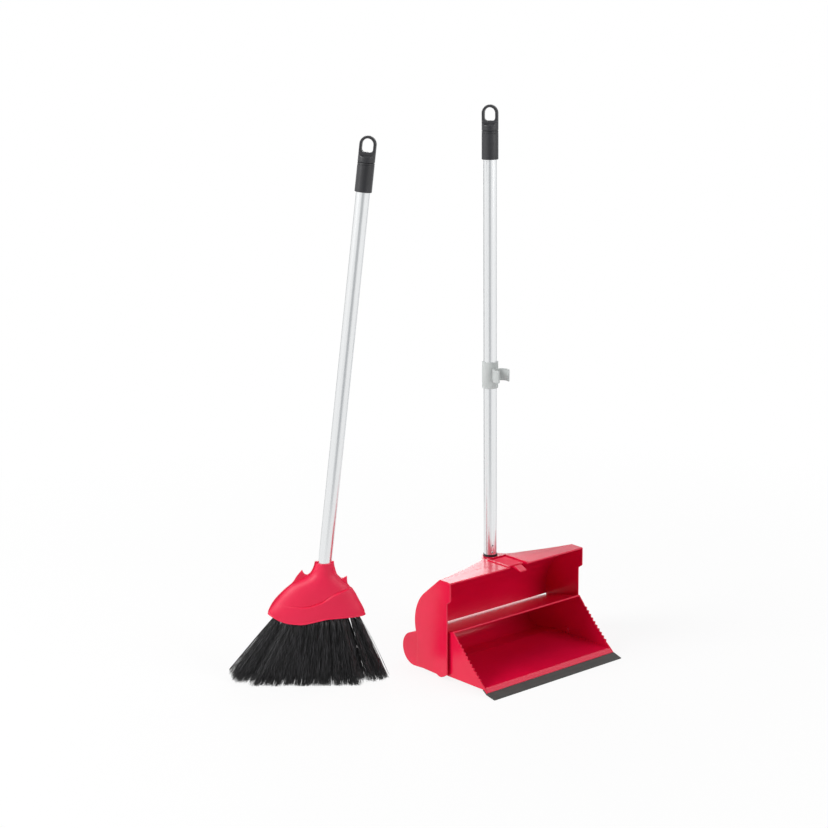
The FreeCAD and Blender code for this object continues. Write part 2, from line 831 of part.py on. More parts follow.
def make_hanging_eye(name, tube_top_place, turn):
    """A round plug above the grip that narrows to a flat ring, free to turn in the tube."""
    lift = S.grip_cap + S.face_gap
    body = new_body(name, tube_top_place * facing(0, 0, lift, Z_AXIS, turn))
    plug = TUBE_INSIDE - S.eye_plug_gap
    crown = S.eye_length - GRIP_RADIUS
    revolve(body, [
        (0, -S.eye_plug),
        (plug, -S.eye_plug),
        (plug, 0),
        (GRIP_RADIUS, 0),
        (GRIP_RADIUS, crown),
        (on_circle((0, crown), GRIP_RADIUS, 45), (0, S.eye_length)),
    ])
    flat = S.eye_thickness / 2
    far = GRIP_RADIUS + 1.0
    low = S.eye_shoulder - S.eye_shoulder_rise
    high = S.eye_length + OVERRUN
    bend = (flat + (far - flat) / 4, S.eye_shoulder - S.eye_shoulder_rise * 0.7)
    flank = [(flat, high), (flat, S.eye_shoulder), (bend, (far, low)), (far, high)]
    other = [(-flat, high), (-flat, S.eye_shoulder), ((-bend[0], bend[1]), (-far, low)), (-far, high)]
    pocket(body, "YZ_Plane", outline(flank) + outline(other), THROUGH, symmetric=True)
    half = S.eye_hole_half
    foot = half - S.eye_hole_corner
    hole = outline([
        (-half, crown),
        ((0, crown + half), (half, crown)),
        (half, S.eye_hole_bottom + S.eye_hole_corner),
        (foot, S.eye_hole_bottom),
        (-foot, S.eye_hole_bottom),
        (-half, S.eye_hole_bottom + S.eye_hole_corner),
    ])
    pocket(body, "XZ_Plane", hole, THROUGH, symmetric=True)


def make_broom_clip():
    """A collar that slides on the pan's pole, with an open jaw for the broom's pole."""
    body = new_body("broom_clip", pan_place(0, POLE_Y, S.clip_low))
    pad(body, "XY_Plane", circle(0, 0, POLE_BORE + S.clip_wall), "Sizes.clip_height")
    jaw = (0, -S.jaw_reach)
    outer = POLE_BORE + S.jaw_wall
    first = -90 + S.jaw_opening / 2
    last = 270 - S.jaw_opening / 2
    ring = outline([
        on_circle(jaw, outer, first),
        (on_circle(jaw, outer, 90), on_circle(jaw, outer, last)),
        on_circle(jaw, POLE_BORE, last),
        (on_circle(jaw, POLE_BORE, 90), on_circle(jaw, POLE_BORE, first)),
    ])
    pad(body, "XY_Plane", ring, "Sizes.jaw_height", offset=S.jaw_rise)
    neck_front = -S.jaw_reach + POLE_BORE + S.jaw_wall / 2
    neck_back = -POLE_BORE - S.clip_wall / 2
    neck = rectangle(-S.jaw_neck / 2, neck_front, S.jaw_neck / 2, neck_back)
    pad(body, "XY_Plane", neck, "Sizes.jaw_height", offset=S.jaw_rise)
    pocket(body, "XY_Plane", circle(0, 0, POLE_BORE), THROUGH, symmetric=True)


# ---- Broom head ----

SECTIONS = [
    (S.neck_z, S.neck_x, S.neck_half, S.neck_deep),
    (S.collar_z, S.collar_x, S.collar_half, S.collar_deep),
    (S.shoulder_z, S.shoulder_x, S.shoulder_half, S.shoulder_deep),
    (S.waist_z, S.waist_x, S.waist_half, S.waist_deep),
    (S.hem_z, S.hem_x, S.hem_half, S.hem_deep),
    (S.hem_z - S.skirt_drop, S.hem_x, S.hem_half, S.hem_deep),
]
BLOCK_TOP = S.block_low + S.block_height


def section_at(height):
    """Middle, half width and half depth of the head at a height."""
    for upper, lower in zip(SECTIONS, SECTIONS[1:]):
        if lower[0] <= height <= upper[0]:
            share = (upper[0] - height) / (upper[0] - lower[0])
            return between(upper, lower, share)[1:]
    raise ValueError(f"the head has no section at z = {height}")


def side_edge(height, side):
    middle, half, _ = section_at(height)
    return middle + side * half, height


BLOCK_X, BLOCK_ROOM, BLOCK_DEPTH_ROOM = section_at(BLOCK_TOP)
BLOCK_HALF = BLOCK_ROOM - S.cover_wall - S.block_end_gap
BLOCK_DEEP = BLOCK_DEPTH_ROOM - S.cover_wall - S.block_side_gap
SCREW_Z = S.block_low + S.block_height / 2
SCREW_SPREAD = BLOCK_HALF - S.cover_screw_inset


def screw_seat_y(x):
    """How far behind the middle a cover screw's head is seated."""
    middle, half, deep = section_at(SCREW_Z)
    surface = deep * math.sqrt(1 - ((x - middle) / half) ** 2)
    return surface - S.cover_seat_depth


def cover_screw_places():
    return [
        facing(x, screw_seat_y(x), SCREW_Z, X_AXIS, 90)
        for x in (BLOCK_X - SCREW_SPREAD, BLOCK_X + SCREW_SPREAD)
    ]


def loft(body, kind, inset):
    """The head's ovals joined into one skin, drawn in by an inset."""
    sketches = [
        new_sketch(body, "XY_Plane", ellipse(middle, 0, half - inset, deep - inset), offset=height)
        for height, middle, half, deep in SECTIONS
    ]
    feature = body.newObject(f"PartDesign::{kind}Loft", "Loft")
    feature.Profile = sketches[0]
    feature.Sections = sketches[1:]
    doc.recompute()


def below_edge_outline():
    """The space under the head's lower edge."""
    left, right = S.hem_x - S.hem_half - OVERRUN, S.hem_x + S.hem_half + OVERRUN
    floor = S.hem_z - S.skirt_drop - OVERRUN
    left_end = (S.hem_x - S.hem_half, S.hem_z + S.edge_left_rise)
    right_end = (S.hem_x + S.hem_half, S.hem_z - S.edge_right_drop)
    return outline([
        (left, floor),
        (left, left_end[1]),
        left_end,
        ((S.edge_bend_x, S.edge_bend_z), (S.edge_low_x, S.edge_low_z)),
        ((S.edge_climb_x, S.edge_climb_z), (S.edge_crest_x, S.edge_crest_z)),
        right_end,
        (right, right_end[1]),
        (right, floor),
    ])


def make_cover(name, side):
    """Half of the head's skin: side is -1 for the front and +1 for the rear."""
    body = new_body(name, broom_place())
    loft(body, "Additive", 0.0)
    loft(body, "Subtractive", S.cover_wall)
    if side > 0:
        for place in cover_screw_places():
            start = Placement(Vector(0, S.cover_seat_wall / 2, 0), Rotation()) * place
            length = 1.5 * S.cover_seat_wall
            cylinder(body, "Additive", start, "Sizes.cover_boss_radius", length)
            outside = Placement(Vector(0, OVERRUN, 0), Rotation()) * place
            head = "Sizes.screw_head_radius + Sizes.face_gap"
            cylinder(body, "Subtractive", outside, head, OVERRUN)
            cylinder(body, "Subtractive", place, "Sizes.screw_radius", S.screw_length)
    reach = 2 * S.hem_half + OVERRUN
    other_half = rectangle(-reach, -reach, reach, side * S.wing_wall / 2)
    if side < 0:
        other_half = rectangle(-reach, side * S.wing_wall / 2, reach, reach)
    pocket(body, "XY_Plane", other_half, THROUGH, symmetric=True)
    tube_room = along_handle(S.broom_tube_low)
    cylinder(body, "Subtractive", tube_room, "Sizes.tube_radius + Sizes.slip_gap", S.spigot_length)
    pocket(body, "XZ_Plane", below_edge_outline(), THROUGH, symmetric=True)


def wing_outline():
    """The core's flat wing, which follows the covers' outline and ends above in two horns."""
    left = [
        side_edge(S.neck_z, -1),
        side_edge(S.collar_z, -1),
        (S.left_notch_x, S.left_notch_z),
        (S.left_horn_x, S.left_horn_z),
        side_edge(S.shoulder_z, -1),
        side_edge(S.waist_z, -1),
        side_edge(S.block_low, -1),
    ]
    right = [
        side_edge(S.block_low, 1),
        side_edge(S.waist_z, 1),
        side_edge(S.shoulder_z, 1),
        (S.right_horn_x, S.right_horn_z),
        (S.right_notch_x, S.right_notch_z),
        side_edge(S.collar_z, 1),
        side_edge(S.neck_z, 1),
    ]
    return outline(left + right)


def make_brush_block():
    body = new_body("brush_block", broom_place())
    block = ellipse(BLOCK_X, 0, BLOCK_HALF, BLOCK_DEEP)
    pad(body, "XY_Plane", block, "Sizes.block_height", offset=S.block_low)
    pad(body, "XZ_Plane", wing_outline(), "Sizes.wing_wall", symmetric=True)
    tube_room = along_handle(S.broom_tube_low)
    cylinder(body, "Subtractive", tube_room, "Sizes.tube_radius + Sizes.slip_gap", S.spigot_length)
    spigot = along_handle(S.spigot_low)
    plug = "Sizes.tube_radius - Sizes.tube_wall - Sizes.slip_gap"
    cylinder(body, "Additive", spigot, plug, S.spigot_length)
    for place in cover_screw_places():
        cylinder(body, "Subtractive", place, "Sizes.screw_radius", S.screw_length)


def tuft_cone(root, tip):
    """A cone round the line from tip to root, longer than it at both ends."""
    line = root - tip
    overrun = line / line.Length * 2 * S.tuft_tip_radius
    spread = (S.tuft_tip_radius - S.tuft_radius) * overrun.Length / line.Length
    cone = doc.addObject("Part::Cone", "Tuft")
    cone.Radius1 = S.tuft_tip_radius + spread
    cone.Radius2 = S.tuft_radius - spread
    cone.Height = line.Length + 2 * overrun.Length
    cone.Placement = Placement(tip - overrun, Rotation(Z_AXIS, line))
    return cone


def make_tuft_row(number):
    """One row of bristle tufts, which fan out from the block down to the floor."""
    from_middle = S.tuft_row_pitch * (number - (TUFT_ROWS - 1) / 2)
    row_half = BLOCK_HALF * math.sqrt(1 - (from_middle / BLOCK_DEEP) ** 2) - S.tuft_end_margin
    count = int(2 * row_half / S.tuft_pitch) + 1
    first = BLOCK_X - S.tuft_pitch * (count - 1) / 2
    tufts = []
    for place in range(count):
        x = first + S.tuft_pitch * place
        tip_x = S.tuft_fan_shift + S.tuft_fan * x
        root = Vector(x, from_middle, S.block_low)
        tufts.append(tuft_cone(root, Vector(tip_x, from_middle * S.tuft_row_fan, 0)))
    all_tufts = doc.addObject("Part::Compound", "Tufts")
    all_tufts.Links = tufts
    under_block = doc.addObject("Part::Box", "UnderBlock")
    under_block.setExpression("Height", "Sizes.block_low")
    under_block.Length = under_block.Width = THROUGH
    under_block.Placement.Base = Vector(-THROUGH / 2, -THROUGH / 2, 0)
    row_of_tufts = doc.addObject("Part::Common", "TuftRow")
    row_of_tufts.Label = f"tufts_row_{number + 1}"
    row_of_tufts.Base = all_tufts
    row_of_tufts.Tool = under_block
    row_of_tufts.Placement = broom_place()
    pieces.append(row_of_tufts)


# ---- The whole set ----

make_hood_shell()
make_catch_pin()
make_latch_lever()

make_pan_scoop()
make_lip_rubber()
make_hinge_pin("hinge_pin_left", -1)
make_hinge_pin("hinge_pin_right", 1)

pan_tube_end = pan_place(0, POLE_Y, S.pan_tube_top)
make_tube_insert()
screw("insert_screw", pan_place(0, SEAT_Y, SEAT_Z) * facing(0, 0, 0, X_AXIS, 90))
make_pan_tube()
make_rivet("tube_rivet_low", 0)
make_rivet("tube_rivet_high", 1)
make_grip_sleeve("pan_grip_sleeve", pan_tube_end)
make_hanging_eye("pan_hanging_eye", pan_tube_end, S.pan_eye_turn)
make_broom_clip()

broom_tube_end = broom_place() * along_handle(S.broom_tube_top)
make_brush_block()
make_cover("front_cover", -1)
make_cover("rear_cover", 1)
for side_name, screw_place in zip(("left", "right"), cover_screw_places()):
    screw(f"cover_screw_{side_name}", broom_place() * screw_place)
for row_number in range(TUFT_ROWS):
    make_tuft_row(row_number)
broom_tube_length = "Sizes.broom_tube_top - Sizes.broom_tube_low"
make_tube("broom_tube", broom_place() * along_handle(S.broom_tube_low), broom_tube_length)
make_grip_sleeve("broom_grip_sleeve", broom_tube_end)
make_hanging_eye("broom_hanging_eye", broom_tube_end, S.broom_eye_turn)

doc.recompute()
for item in doc.Objects:
    if "Invalid" in item.State or "Error" in item.State:
        raise RuntimeError(f"{item.Label} failed: {item.State}")
for piece in pieces:
    if piece.Shape.isNull() or not piece.Shape.isValid() or not piece.Shape.Solids:
        raise RuntimeError(f"{piece.Label} has no valid solid")

os.makedirs("parts", exist_ok=True)
for piece in pieces:
    piece.Shape.exportStep(f"parts/{piece.Label}.step")
    box = piece.Shape.BoundBox
    print(
        f"{piece.Label:20s} solids {len(piece.Shape.Solids):2d}  volume {piece.Shape.Volume:10.0f}"
        f"  x {box.XMin:7.1f} {box.XMax:7.1f}  y {box.YMin:7.1f} {box.YMax:7.1f}"
        f"  z {box.ZMin:6.1f} {box.ZMax:6.1f}"
    )
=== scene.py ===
import json
import math
import random

import bmesh
import bpy
from mathutils import Matrix, Vector

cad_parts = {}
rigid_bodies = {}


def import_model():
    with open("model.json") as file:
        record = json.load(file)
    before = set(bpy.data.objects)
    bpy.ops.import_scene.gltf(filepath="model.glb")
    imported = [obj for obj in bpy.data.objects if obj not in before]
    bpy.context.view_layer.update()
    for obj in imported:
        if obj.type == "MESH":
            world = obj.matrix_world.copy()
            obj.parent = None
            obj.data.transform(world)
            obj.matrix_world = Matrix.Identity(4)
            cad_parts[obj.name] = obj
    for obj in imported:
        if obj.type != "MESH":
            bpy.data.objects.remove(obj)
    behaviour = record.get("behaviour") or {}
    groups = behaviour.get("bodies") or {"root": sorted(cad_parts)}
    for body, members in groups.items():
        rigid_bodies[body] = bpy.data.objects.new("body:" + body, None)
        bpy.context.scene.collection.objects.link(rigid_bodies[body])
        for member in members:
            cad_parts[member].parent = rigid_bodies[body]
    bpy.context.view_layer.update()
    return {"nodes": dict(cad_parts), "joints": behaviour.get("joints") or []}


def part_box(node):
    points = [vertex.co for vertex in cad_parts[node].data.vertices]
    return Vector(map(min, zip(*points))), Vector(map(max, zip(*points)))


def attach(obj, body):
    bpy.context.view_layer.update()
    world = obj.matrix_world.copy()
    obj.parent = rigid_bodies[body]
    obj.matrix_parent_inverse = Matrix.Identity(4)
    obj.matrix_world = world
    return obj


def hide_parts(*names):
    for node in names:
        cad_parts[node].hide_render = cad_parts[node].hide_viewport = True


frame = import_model()
print("frame loaded")

mm = 0.001
random.seed(7)

# Each piece is drawn in millimetres in the pan's, the pole's or the broom's own axes,
# and one of these matrices, in metres, puts it in the frame.
browDepth = 9.0  # how far the hood's brow stands in front of its side panels
hoodLow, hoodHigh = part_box("hood_shell")
poleLow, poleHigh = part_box("pan_tube")
panPlace = Matrix.Translation(((hoodLow.x + hoodHigh.x) / 2, hoodLow.y + browDepth * mm, 0))
poleY = ((poleLow.y + poleHigh.y) / 2 - panPlace.translation.y) / mm
polePlace = panPlace @ Matrix.Translation((0, poleY * mm, 0))

broomJoint = next(j for j in frame["joints"] if j["name"] == "broom_eye_swivel")
handleLine = Vector(broomJoint["axis"]).normalized()
handlePoint = Vector(broomJoint["pos_m"])
broomFoot = handlePoint - handleLine * (handlePoint.z / handleLine.z)
broomTurn = math.atan2(handleLine.y, handleLine.x)
handleLean = math.acos(handleLine.z)
broomPlace = Matrix.Translation(broomFoot) @ Matrix.Rotation(broomTurn, 4, "Z")
handlePlace = broomPlace @ Matrix.Rotation(handleLean, 4, "Y")

cameraView = dict(
    aim=(-0.0004, 0.0357, 0.4249),  # metres
    distance=2.8883,
    azimuth=-39.0,  # degrees from the front
    elevation=13.14,
    roll=0.606,
    lens=77.66,  # millimetres, on a 36 mm sensor
)


def addObject(name, data):
    made = bpy.data.objects.new(name, data)
    bpy.context.scene.collection.objects.link(made)
    return made


def setCamera(view):
    azimuth, elevation = math.radians(view["azimuth"]), math.radians(view["elevation"])
    roll = math.radians(view["roll"])
    back = Vector((
        math.sin(azimuth) * math.cos(elevation),
        -math.cos(azimuth) * math.cos(elevation),
        math.sin(elevation),
    ))
    right = Vector((math.cos(azimuth), math.sin(azimuth), 0))
    up = back.cross(right)
    camera = addObject("camera", bpy.data.cameras.new("camera"))
    camera.data.sensor_width = 36
    camera.data.lens = view["lens"]
    camera.data.clip_end = 50
    across = right * math.cos(roll) - up * math.sin(roll)
    upright = right * math.sin(roll) + up * math.cos(roll)
    turn = Matrix((across, upright, back)).transposed().to_4x4()
    camera.matrix_world = Matrix.Translation(Vector(view["aim"]) + back * view["distance"]) @ turn
    bpy.context.scene.camera = camera


setCamera(cameraView)
bpy.context.scene.view_settings.view_transform = "Standard"
print("camera set")


# Drawing and solids, in millimetres

past = 200.0  # further than any piece reaches, for a cut right through
softEdge = 0.4  # the usual rounding of a small moulded edge


def arc(centre, radius, start, end, step=5.0):
    # points on an arc, both ends included, with angles in degrees
    count = max(1, math.ceil(abs(end - start) / step))
    angles = [math.radians(start + (end - start) * i / count) for i in range(count + 1)]
    return [(centre[0] + radius * math.cos(a), centre[1] + radius * math.sin(a)) for a in angles]


def circle(centre, radius, step):
    # a full turn, whose last point isn't the first one again
    return arc(centre, radius, 0, 360, step)[:-1]


def rectangle(left, right, low, high):
    return [(left, low), (right, low), (right, high), (left, high)]


def eased(points, radii, steps=5):
    # a closed outline with each corner rounded by its own radius
    made = []
    for i, (point, radius) in enumerate(zip(points, radii)):
        here = Vector(point)
        before = (Vector(points[i - 1]) - here).normalized()
        after = (Vector(points[(i + 1) % len(points)]) - here).normalized()
        if not radius:
            made.append(point)
            continue
        half = before.angle(after) / 2
        centre = here + (before + after).normalized() * (radius / math.sin(half))
        reach = radius / math.tan(half)
        start, end = here + before * reach - centre, here + after * reach - centre
        sweep = start.angle_signed(end)
        for k in range(steps + 1):
            made.append(tuple(centre + Matrix.Rotation(-sweep * k / steps, 2) @ start))
    return made


def throughPoints(points, steps=8):
    # a smooth line through the points, both ends included
    ends = [2 * Vector(points[0]) - Vector(points[1]), 2 * Vector(points[-1]) - Vector(points[-2])]
    line = [ends[0]] + [Vector(p) for p in points] + [ends[1]]
    made = []
    for a, b, c, d in zip(line, line[1:], line[2:], line[3:]):
        for k in range(steps):
            t = k / steps
            made.append(tuple(0.5 * (
                2 * b + (c - a) * t + (2 * a - 5 * b + 4 * c - d) * t ** 2
                + (3 * b - a - 3 * c + d) * t ** 3
            )))
    return made + [tuple(points[-1])]


def between(table, value):
    # a smooth value from a table of (key, value, value ...), with keys going down or up
    rows = sorted(table)
    keys = [row[0] for row in rows]
    if value <= keys[0]:
        return rows[0][1:]
    if value >= keys[-1]:
        return rows[-1][1:]
    i = max(k for k in range(len(keys) - 1) if keys[k] <= value)
    low, high = rows[i], rows[i + 1]
    gap = high[0] - low[0]
    t = (value - low[0]) / gap
    found = []
    for column in range(1, len(low)):
        slopes = []
        for j in (i, i + 1):
            if j in (0, len(rows) - 1):
                other = 1 if j == 0 else j - 1
                slopes.append((rows[other][column] - rows[j][column]) / (keys[other] - keys[j]))
                continue
            before = (rows[j][column] - rows[j - 1][column]) / (keys[j] - keys[j - 1])
            after = (rows[j + 1][column] - rows[j][column]) / (keys[j + 1] - keys[j])
            slopes.append(0 if before * after <= 0 else 2 * before * after / (before + after))
        found.append(
            low[column] * (2 * t ** 3 - 3 * t ** 2 + 1) + high[column] * (3 * t ** 2 - 2 * t ** 3)
            + gap * slopes[0] * (t ** 3 - 2 * t ** 2 + t) + gap * slopes[1] * (t ** 3 - t ** 2)
        )
    return tuple(found)


def splitWide(mesh):
    # faces with more than four corners become triangles, which a cut can't fold over
    bmesh.ops.triangulate(mesh, faces=[face for face in mesh.faces if len(face.verts) > 4])


def asObject(mesh, name="work"):
    splitWide(mesh)
    data = bpy.data.meshes.new(name)
    mesh.to_mesh(data)
    mesh.free()
    return addObject(name, data)


def slab(outline, low, high, across="x", easeLow=0.0, easeHigh=0.0, steps=3):
    # a plate with a flat outline, from low to high across it, with its end edges rounded
    def at(point, depth):
        a, b = point
        return {"x": (depth, a, b), "y": (a, depth, b), "z": (a, b, depth)}[across]

    mesh = bmesh.new()
    rings = [[mesh.verts.new(at(p, depth)) for p in outline] for depth in (low, high)]
    ends = [mesh.faces.new(ring) for ring in rings]
    for i in range(len(outline)):
        j = (i + 1) % len(outline)
        mesh.faces.new((rings[0][i], rings[0][j], rings[1][j], rings[1][i]))
    bmesh.ops.recalc_face_normals(mesh, faces=mesh.faces)
    for end, ease in zip(ends, (easeLow, easeHigh)):
        if ease:
            bmesh.ops.bevel(
                mesh, geom=list(end.edges), offset=ease, offset_type="OFFSET",
                segments=steps, profile=0.5, affect="EDGES", clamp_overlap=False,
            )
    return asObject(mesh)


def bar(outline, half, ease=0.0, across="x"):
    # a plate that reaches equally far to both sides of the middle
    return slab(outline, -half, half, across, ease, ease)


def turned(profile, steps=96):
    # a closed outline of (radius, height) turned about the upright axis
    mesh = bmesh.new()
    rings = []
    for k in range(steps):
        angle = 2 * math.pi * k / steps
        rings.append([
            mesh.verts.new((r * math.cos(angle), r * math.sin(angle), z)) for r, z in profile
        ])
    for k in range(steps):
        here, there = rings[k], rings[(k + 1) % steps]
        for i in range(len(profile)):
            j = (i + 1) % len(profile)
            if profile[i][0] > 0 or profile[j][0] > 0:
                mesh.faces.new((here[i], there[i], there[j], here[j]))
    bmesh.ops.remove_doubles(mesh, verts=mesh.verts, dist=1e-4)
    bmesh.ops.recalc_face_normals(mesh, faces=mesh.faces)
    return asObject(mesh)


def bake(piece):
    # the piece's modifiers become its mesh
    old = piece.data
    shown = piece.evaluated_get(bpy.context.evaluated_depsgraph_get())
    piece.data = bpy.data.meshes.new_from_object(shown)
    piece.modifiers.clear()
    bpy.data.meshes.remove(old)


def carve(piece, operation, *tools):
    for tool in tools:
        cut = piece.modifiers.new("cut", "BOOLEAN")
        cut.operation, cut.solver, cut.object = operation, "MANIFOLD", tool
    bake(piece)
    for tool in tools:
        data = tool.data
        bpy.data.objects.remove(tool)
        bpy.data.meshes.remove(data)


def dress(piece, place, body, material, stands):
    # its finish, place and body, and the CAD nodes it stands for
    piece.data.materials.clear()
    piece.data.materials.append(material)
    piece.matrix_world = place
    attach(piece, body)
    if stands:
        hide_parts(*stands)


def settle(piece, name, place, body, material, stands=(), sharp=40):
    # the finished solid goes from millimetres to metres, with its edges sharp past an angle
    piece.name = piece.data.name = name
    mesh = bmesh.new()
    mesh.from_mesh(piece.data)
    bmesh.ops.scale(mesh, vec=(mm, mm, mm), verts=mesh.verts)
    splitWide(mesh)
    mesh.to_mesh(piece.data)
    mesh.free()
    piece.data.shade_smooth()
    piece.data.set_sharp_from_angle(angle=math.radians(sharp))
    weights = piece.modifiers.new("weights", "WEIGHTED_NORMAL")
    weights.keep_sharp = True
    bake(piece)
    dress(piece, place, body, material, stands)


# Materials

def colour(hexText):
    parts = [int(hexText[i:i + 2], 16) / 255 for i in (1, 3, 5)]
    linear = [c / 12.92 if c <= 0.04045 else ((c + 0.055) / 1.055) ** 2.4 for c in parts]
    return (*linear, 1.0)


def addNode(tree, kind, settings=None, links=None, feeds=None):
    # settings go to inputs, a ramp's stops or the node itself; links give an input its
    # (node, output), and the result feeds the first node that has the input named last
    node = tree.nodes.new("ShaderNode" + kind)
    for name, value in (settings or {}).items():
        if name == "stops":
            for element, (at, text) in zip(node.color_ramp.elements, value):
                element.position, element.color = at, colour(text)
        elif isinstance(name, int) or name in node.inputs:
            node.inputs[name].default_value = value
        else:
            setattr(node, name, value)
    for name, (source, output) in (links or {}).items():
        tree.links.new(source.outputs[output], node.inputs[name])
    if feeds:
        taker = next(other for other in tree.nodes if feeds in other.inputs)
        tree.links.new(node.outputs[0], taker.inputs[feeds])
    return node


def startMaterial(name, settings):
    material = bpy.data.materials.new(name)
    material.use_nodes = True
    tree = material.node_tree
    for key, value in settings.items():
        tree.nodes["Principled BSDF"].inputs[key].default_value = value
    return material, tree, addNode(tree, "TexCoord")


def perMetre(sizes):
    # a pattern's scale from the real size of its marks, in metres, along each axis
    return tuple(1 / size for size in sizes)


def mouldedPlastic(name, finish):
    # Injection-moulded plastic: an even colour with a soft orange-peel gloss, slight cloudiness
    # from the melt's flow, and hairline rubs that dull the gloss a little.
    material, tree, place = startMaterial(name, {
        "IOR": 1.49, "Specular IOR Level": finish["specular"],
    })
    low, high = finish["colours"]
    cloud = addNode(tree, "TexNoise", {
        "Scale": 1 / finish["cloudSize"], "Detail": 3.0, "Roughness": 0.5,
    }, {"Vector": (place, "Object")})
    addNode(tree, "ValToRGB", {
        "stops": ((0.3, low), (0.7, high)),
    }, {"Fac": (cloud, "Fac")}, "Base Color")
    stretch = addNode(tree, "Mapping", {
        "Scale": perMetre(finish["rubSize"]),
    }, {"Vector": (place, "Object")})
    rubs = addNode(tree, "TexNoise", {
        "Scale": 1.0, "Detail": 4.0, "Roughness": 0.65, "Distortion": 0.6,
    }, {"Vector": (stretch, "Vector")})
    glossy, matt = finish["roughness"]
    addNode(tree, "MapRange", {
        "From Min": 0.35, "From Max": 0.75, "To Min": glossy, "To Max": matt,
    }, {"Value": (rubs, "Fac")}, "Roughness")
    peel = addNode(tree, "TexNoise", {
        "Scale": 1 / finish["peelSize"], "Detail": 2.0,
    }, {"Vector": (place, "Object")})
    both = addNode(tree, "Math", {
        "operation": "MULTIPLY_ADD", 1: finish["rubShare"],
    }, {0: (rubs, "Fac"), 2: (peel, "Fac")})
    addNode(tree, "Bump", {
        "Strength": finish["bump"], "Distance": finish["peelDepth"],
    }, {"Height": (both, "Value")}, "Normal")
    return material


# Sizes in a finish are metres.
# The pan and hood are polypropylene from a polished mould, so they mirror the room softly.
glossFinish = dict(
    colours=("#dd0c3b", "#e30f41"), cloudSize=0.06, roughness=(0.2, 0.26), specular=0.4,
    rubSize=(0.05, 0.004, 0.05), rubShare=0.03, peelSize=0.009, peelDepth=0.0006, bump=0.08,
)
# The broom's head comes from a finely textured mould, so its gloss is spread wider.
satinFinish = dict(
    colours=("#dc1040", "#e21546"), cloudSize=0.05, roughness=(0.45, 0.55), specular=0.4,
    rubSize=(0.03, 0.03, 0.004), rubShare=0.2, peelSize=0.0016, peelDepth=0.0002, bump=0.12,
)
# Grips and eyes are charcoal polypropylene with a matt spark-eroded grain.
gripFinish = dict(
    colours=("#212124", "#28282c"), cloudSize=0.02, roughness=(0.34, 0.44), specular=0.5,
    rubSize=(0.004, 0.004, 0.03), rubShare=0.3, peelSize=0.0009, peelDepth=0.0001, bump=0.25,
)
# The clip is pale grey nylon-like plastic, half matt.
clipFinish = dict(
    colours=("#b6bab9", "#bfc3c2"), cloudSize=0.02, roughness=(0.38, 0.5), specular=0.5,
    rubSize=(0.004, 0.004, 0.02), rubShare=0.2, peelSize=0.0011, peelDepth=0.0001, bump=0.15,
)
# The lever's foot pad comes from a coarsely etched part of the mould and is nearly matt.
padFinish = dict(
    colours=("#e0123f", "#e61a47"), cloudSize=0.02, roughness=(0.62, 0.72), specular=0.3,
    rubSize=(0.006, 0.02, 0.006), rubShare=0.2, peelSize=0.0014, peelDepth=0.0003, bump=0.4,
)
hoodRed = mouldedPlastic("gloss_moulded_polypropylene_hood", glossFinish)
panRed = mouldedPlastic("gloss_moulded_polypropylene_pan", glossFinish)
broomRed = mouldedPlastic("satin_moulded_polypropylene_broom", satinFinish)
padRed = mouldedPlastic("etched_moulded_polypropylene_pad", padFinish)
gripBlack = mouldedPlastic("grained_moulded_polypropylene_grip", gripFinish)
plugFinish = dict(gripFinish, colours=("#18181a", "#202023"))  # the plug is darker than the grips
plugBlack = mouldedPlastic("moulded_black_polyamide", plugFinish)
clipGrey = mouldedPlastic("moulded_grey_polyamide_clip", clipFinish)


def drawnMetal(name, finish):
    # Drawn metal: bright, with fine die lines that spread the reflections across them and
    # a few longer, darker streaks. On small fasteners the lines break up into a fine grain.
    material, tree, place = startMaterial(name, {"Metallic": 1.0, "Anisotropic": 0.35})
    low, high = finish["colours"]
    fine = addNode(tree, "Mapping", {
        "Scale": perMetre(finish["lineSize"]),
    }, {"Vector": (place, "Object")})
    lines = addNode(tree, "TexNoise", {
        "Scale": 1.0, "Detail": 4.0, "Roughness": 0.7,
    }, {"Vector": (fine, "Vector")})
    addNode(tree, "ValToRGB", {
        "stops": ((0.3, low), (0.7, high)),
    }, {"Fac": (lines, "Fac")}, "Base Color")
    glossy, matt = finish["roughness"]
    addNode(tree, "MapRange", {
        "From Min": 0.3, "From Max": 0.7, "To Min": glossy, "To Max": matt,
    }, {"Value": (lines, "Fac")}, "Roughness")
    addNode(tree, "Bump", {
        "Strength": 0.2, "Distance": 0.0001,
    }, {"Height": (lines, "Fac")}, "Normal")
    return material


# satin-anodised tube, with die lines about 0.7 mm apart, coarse enough to show
poleAluminium = drawnMetal("drawn_anodised_aluminium_pole", dict(
    colours=("#e4e6e7", "#ecedee"), roughness=(0.22, 0.3), lineSize=(0.0007, 0.0007, 0.4),
))
# plain aluminium wire, dulled by the setting tool
rivetAluminium = drawnMetal("drawn_aluminium_rivet", dict(
    colours=("#b9bcbf", "#c9ccce"), roughness=(0.3, 0.42), lineSize=(0.0008, 0.0008, 0.0008),
))
# the broken stem inside a rivet, nearly black, so that each head shows a dark dot in its middle
stemSteel = drawnMetal("oiled_steel_rivet_stem", dict(
    colours=("#2a2a2b", "#353536"), roughness=(0.45, 0.6), lineSize=(0.0008, 0.0008, 0.0008),
))
# pins and screws, with zinc's greyish bloom
zincSteel = drawnMetal("zinc_plated_steel_fastener", dict(
    colours=("#a9abad", "#bcbec1"), roughness=(0.3, 0.45), lineSize=(0.001, 0.001, 0.001),
))


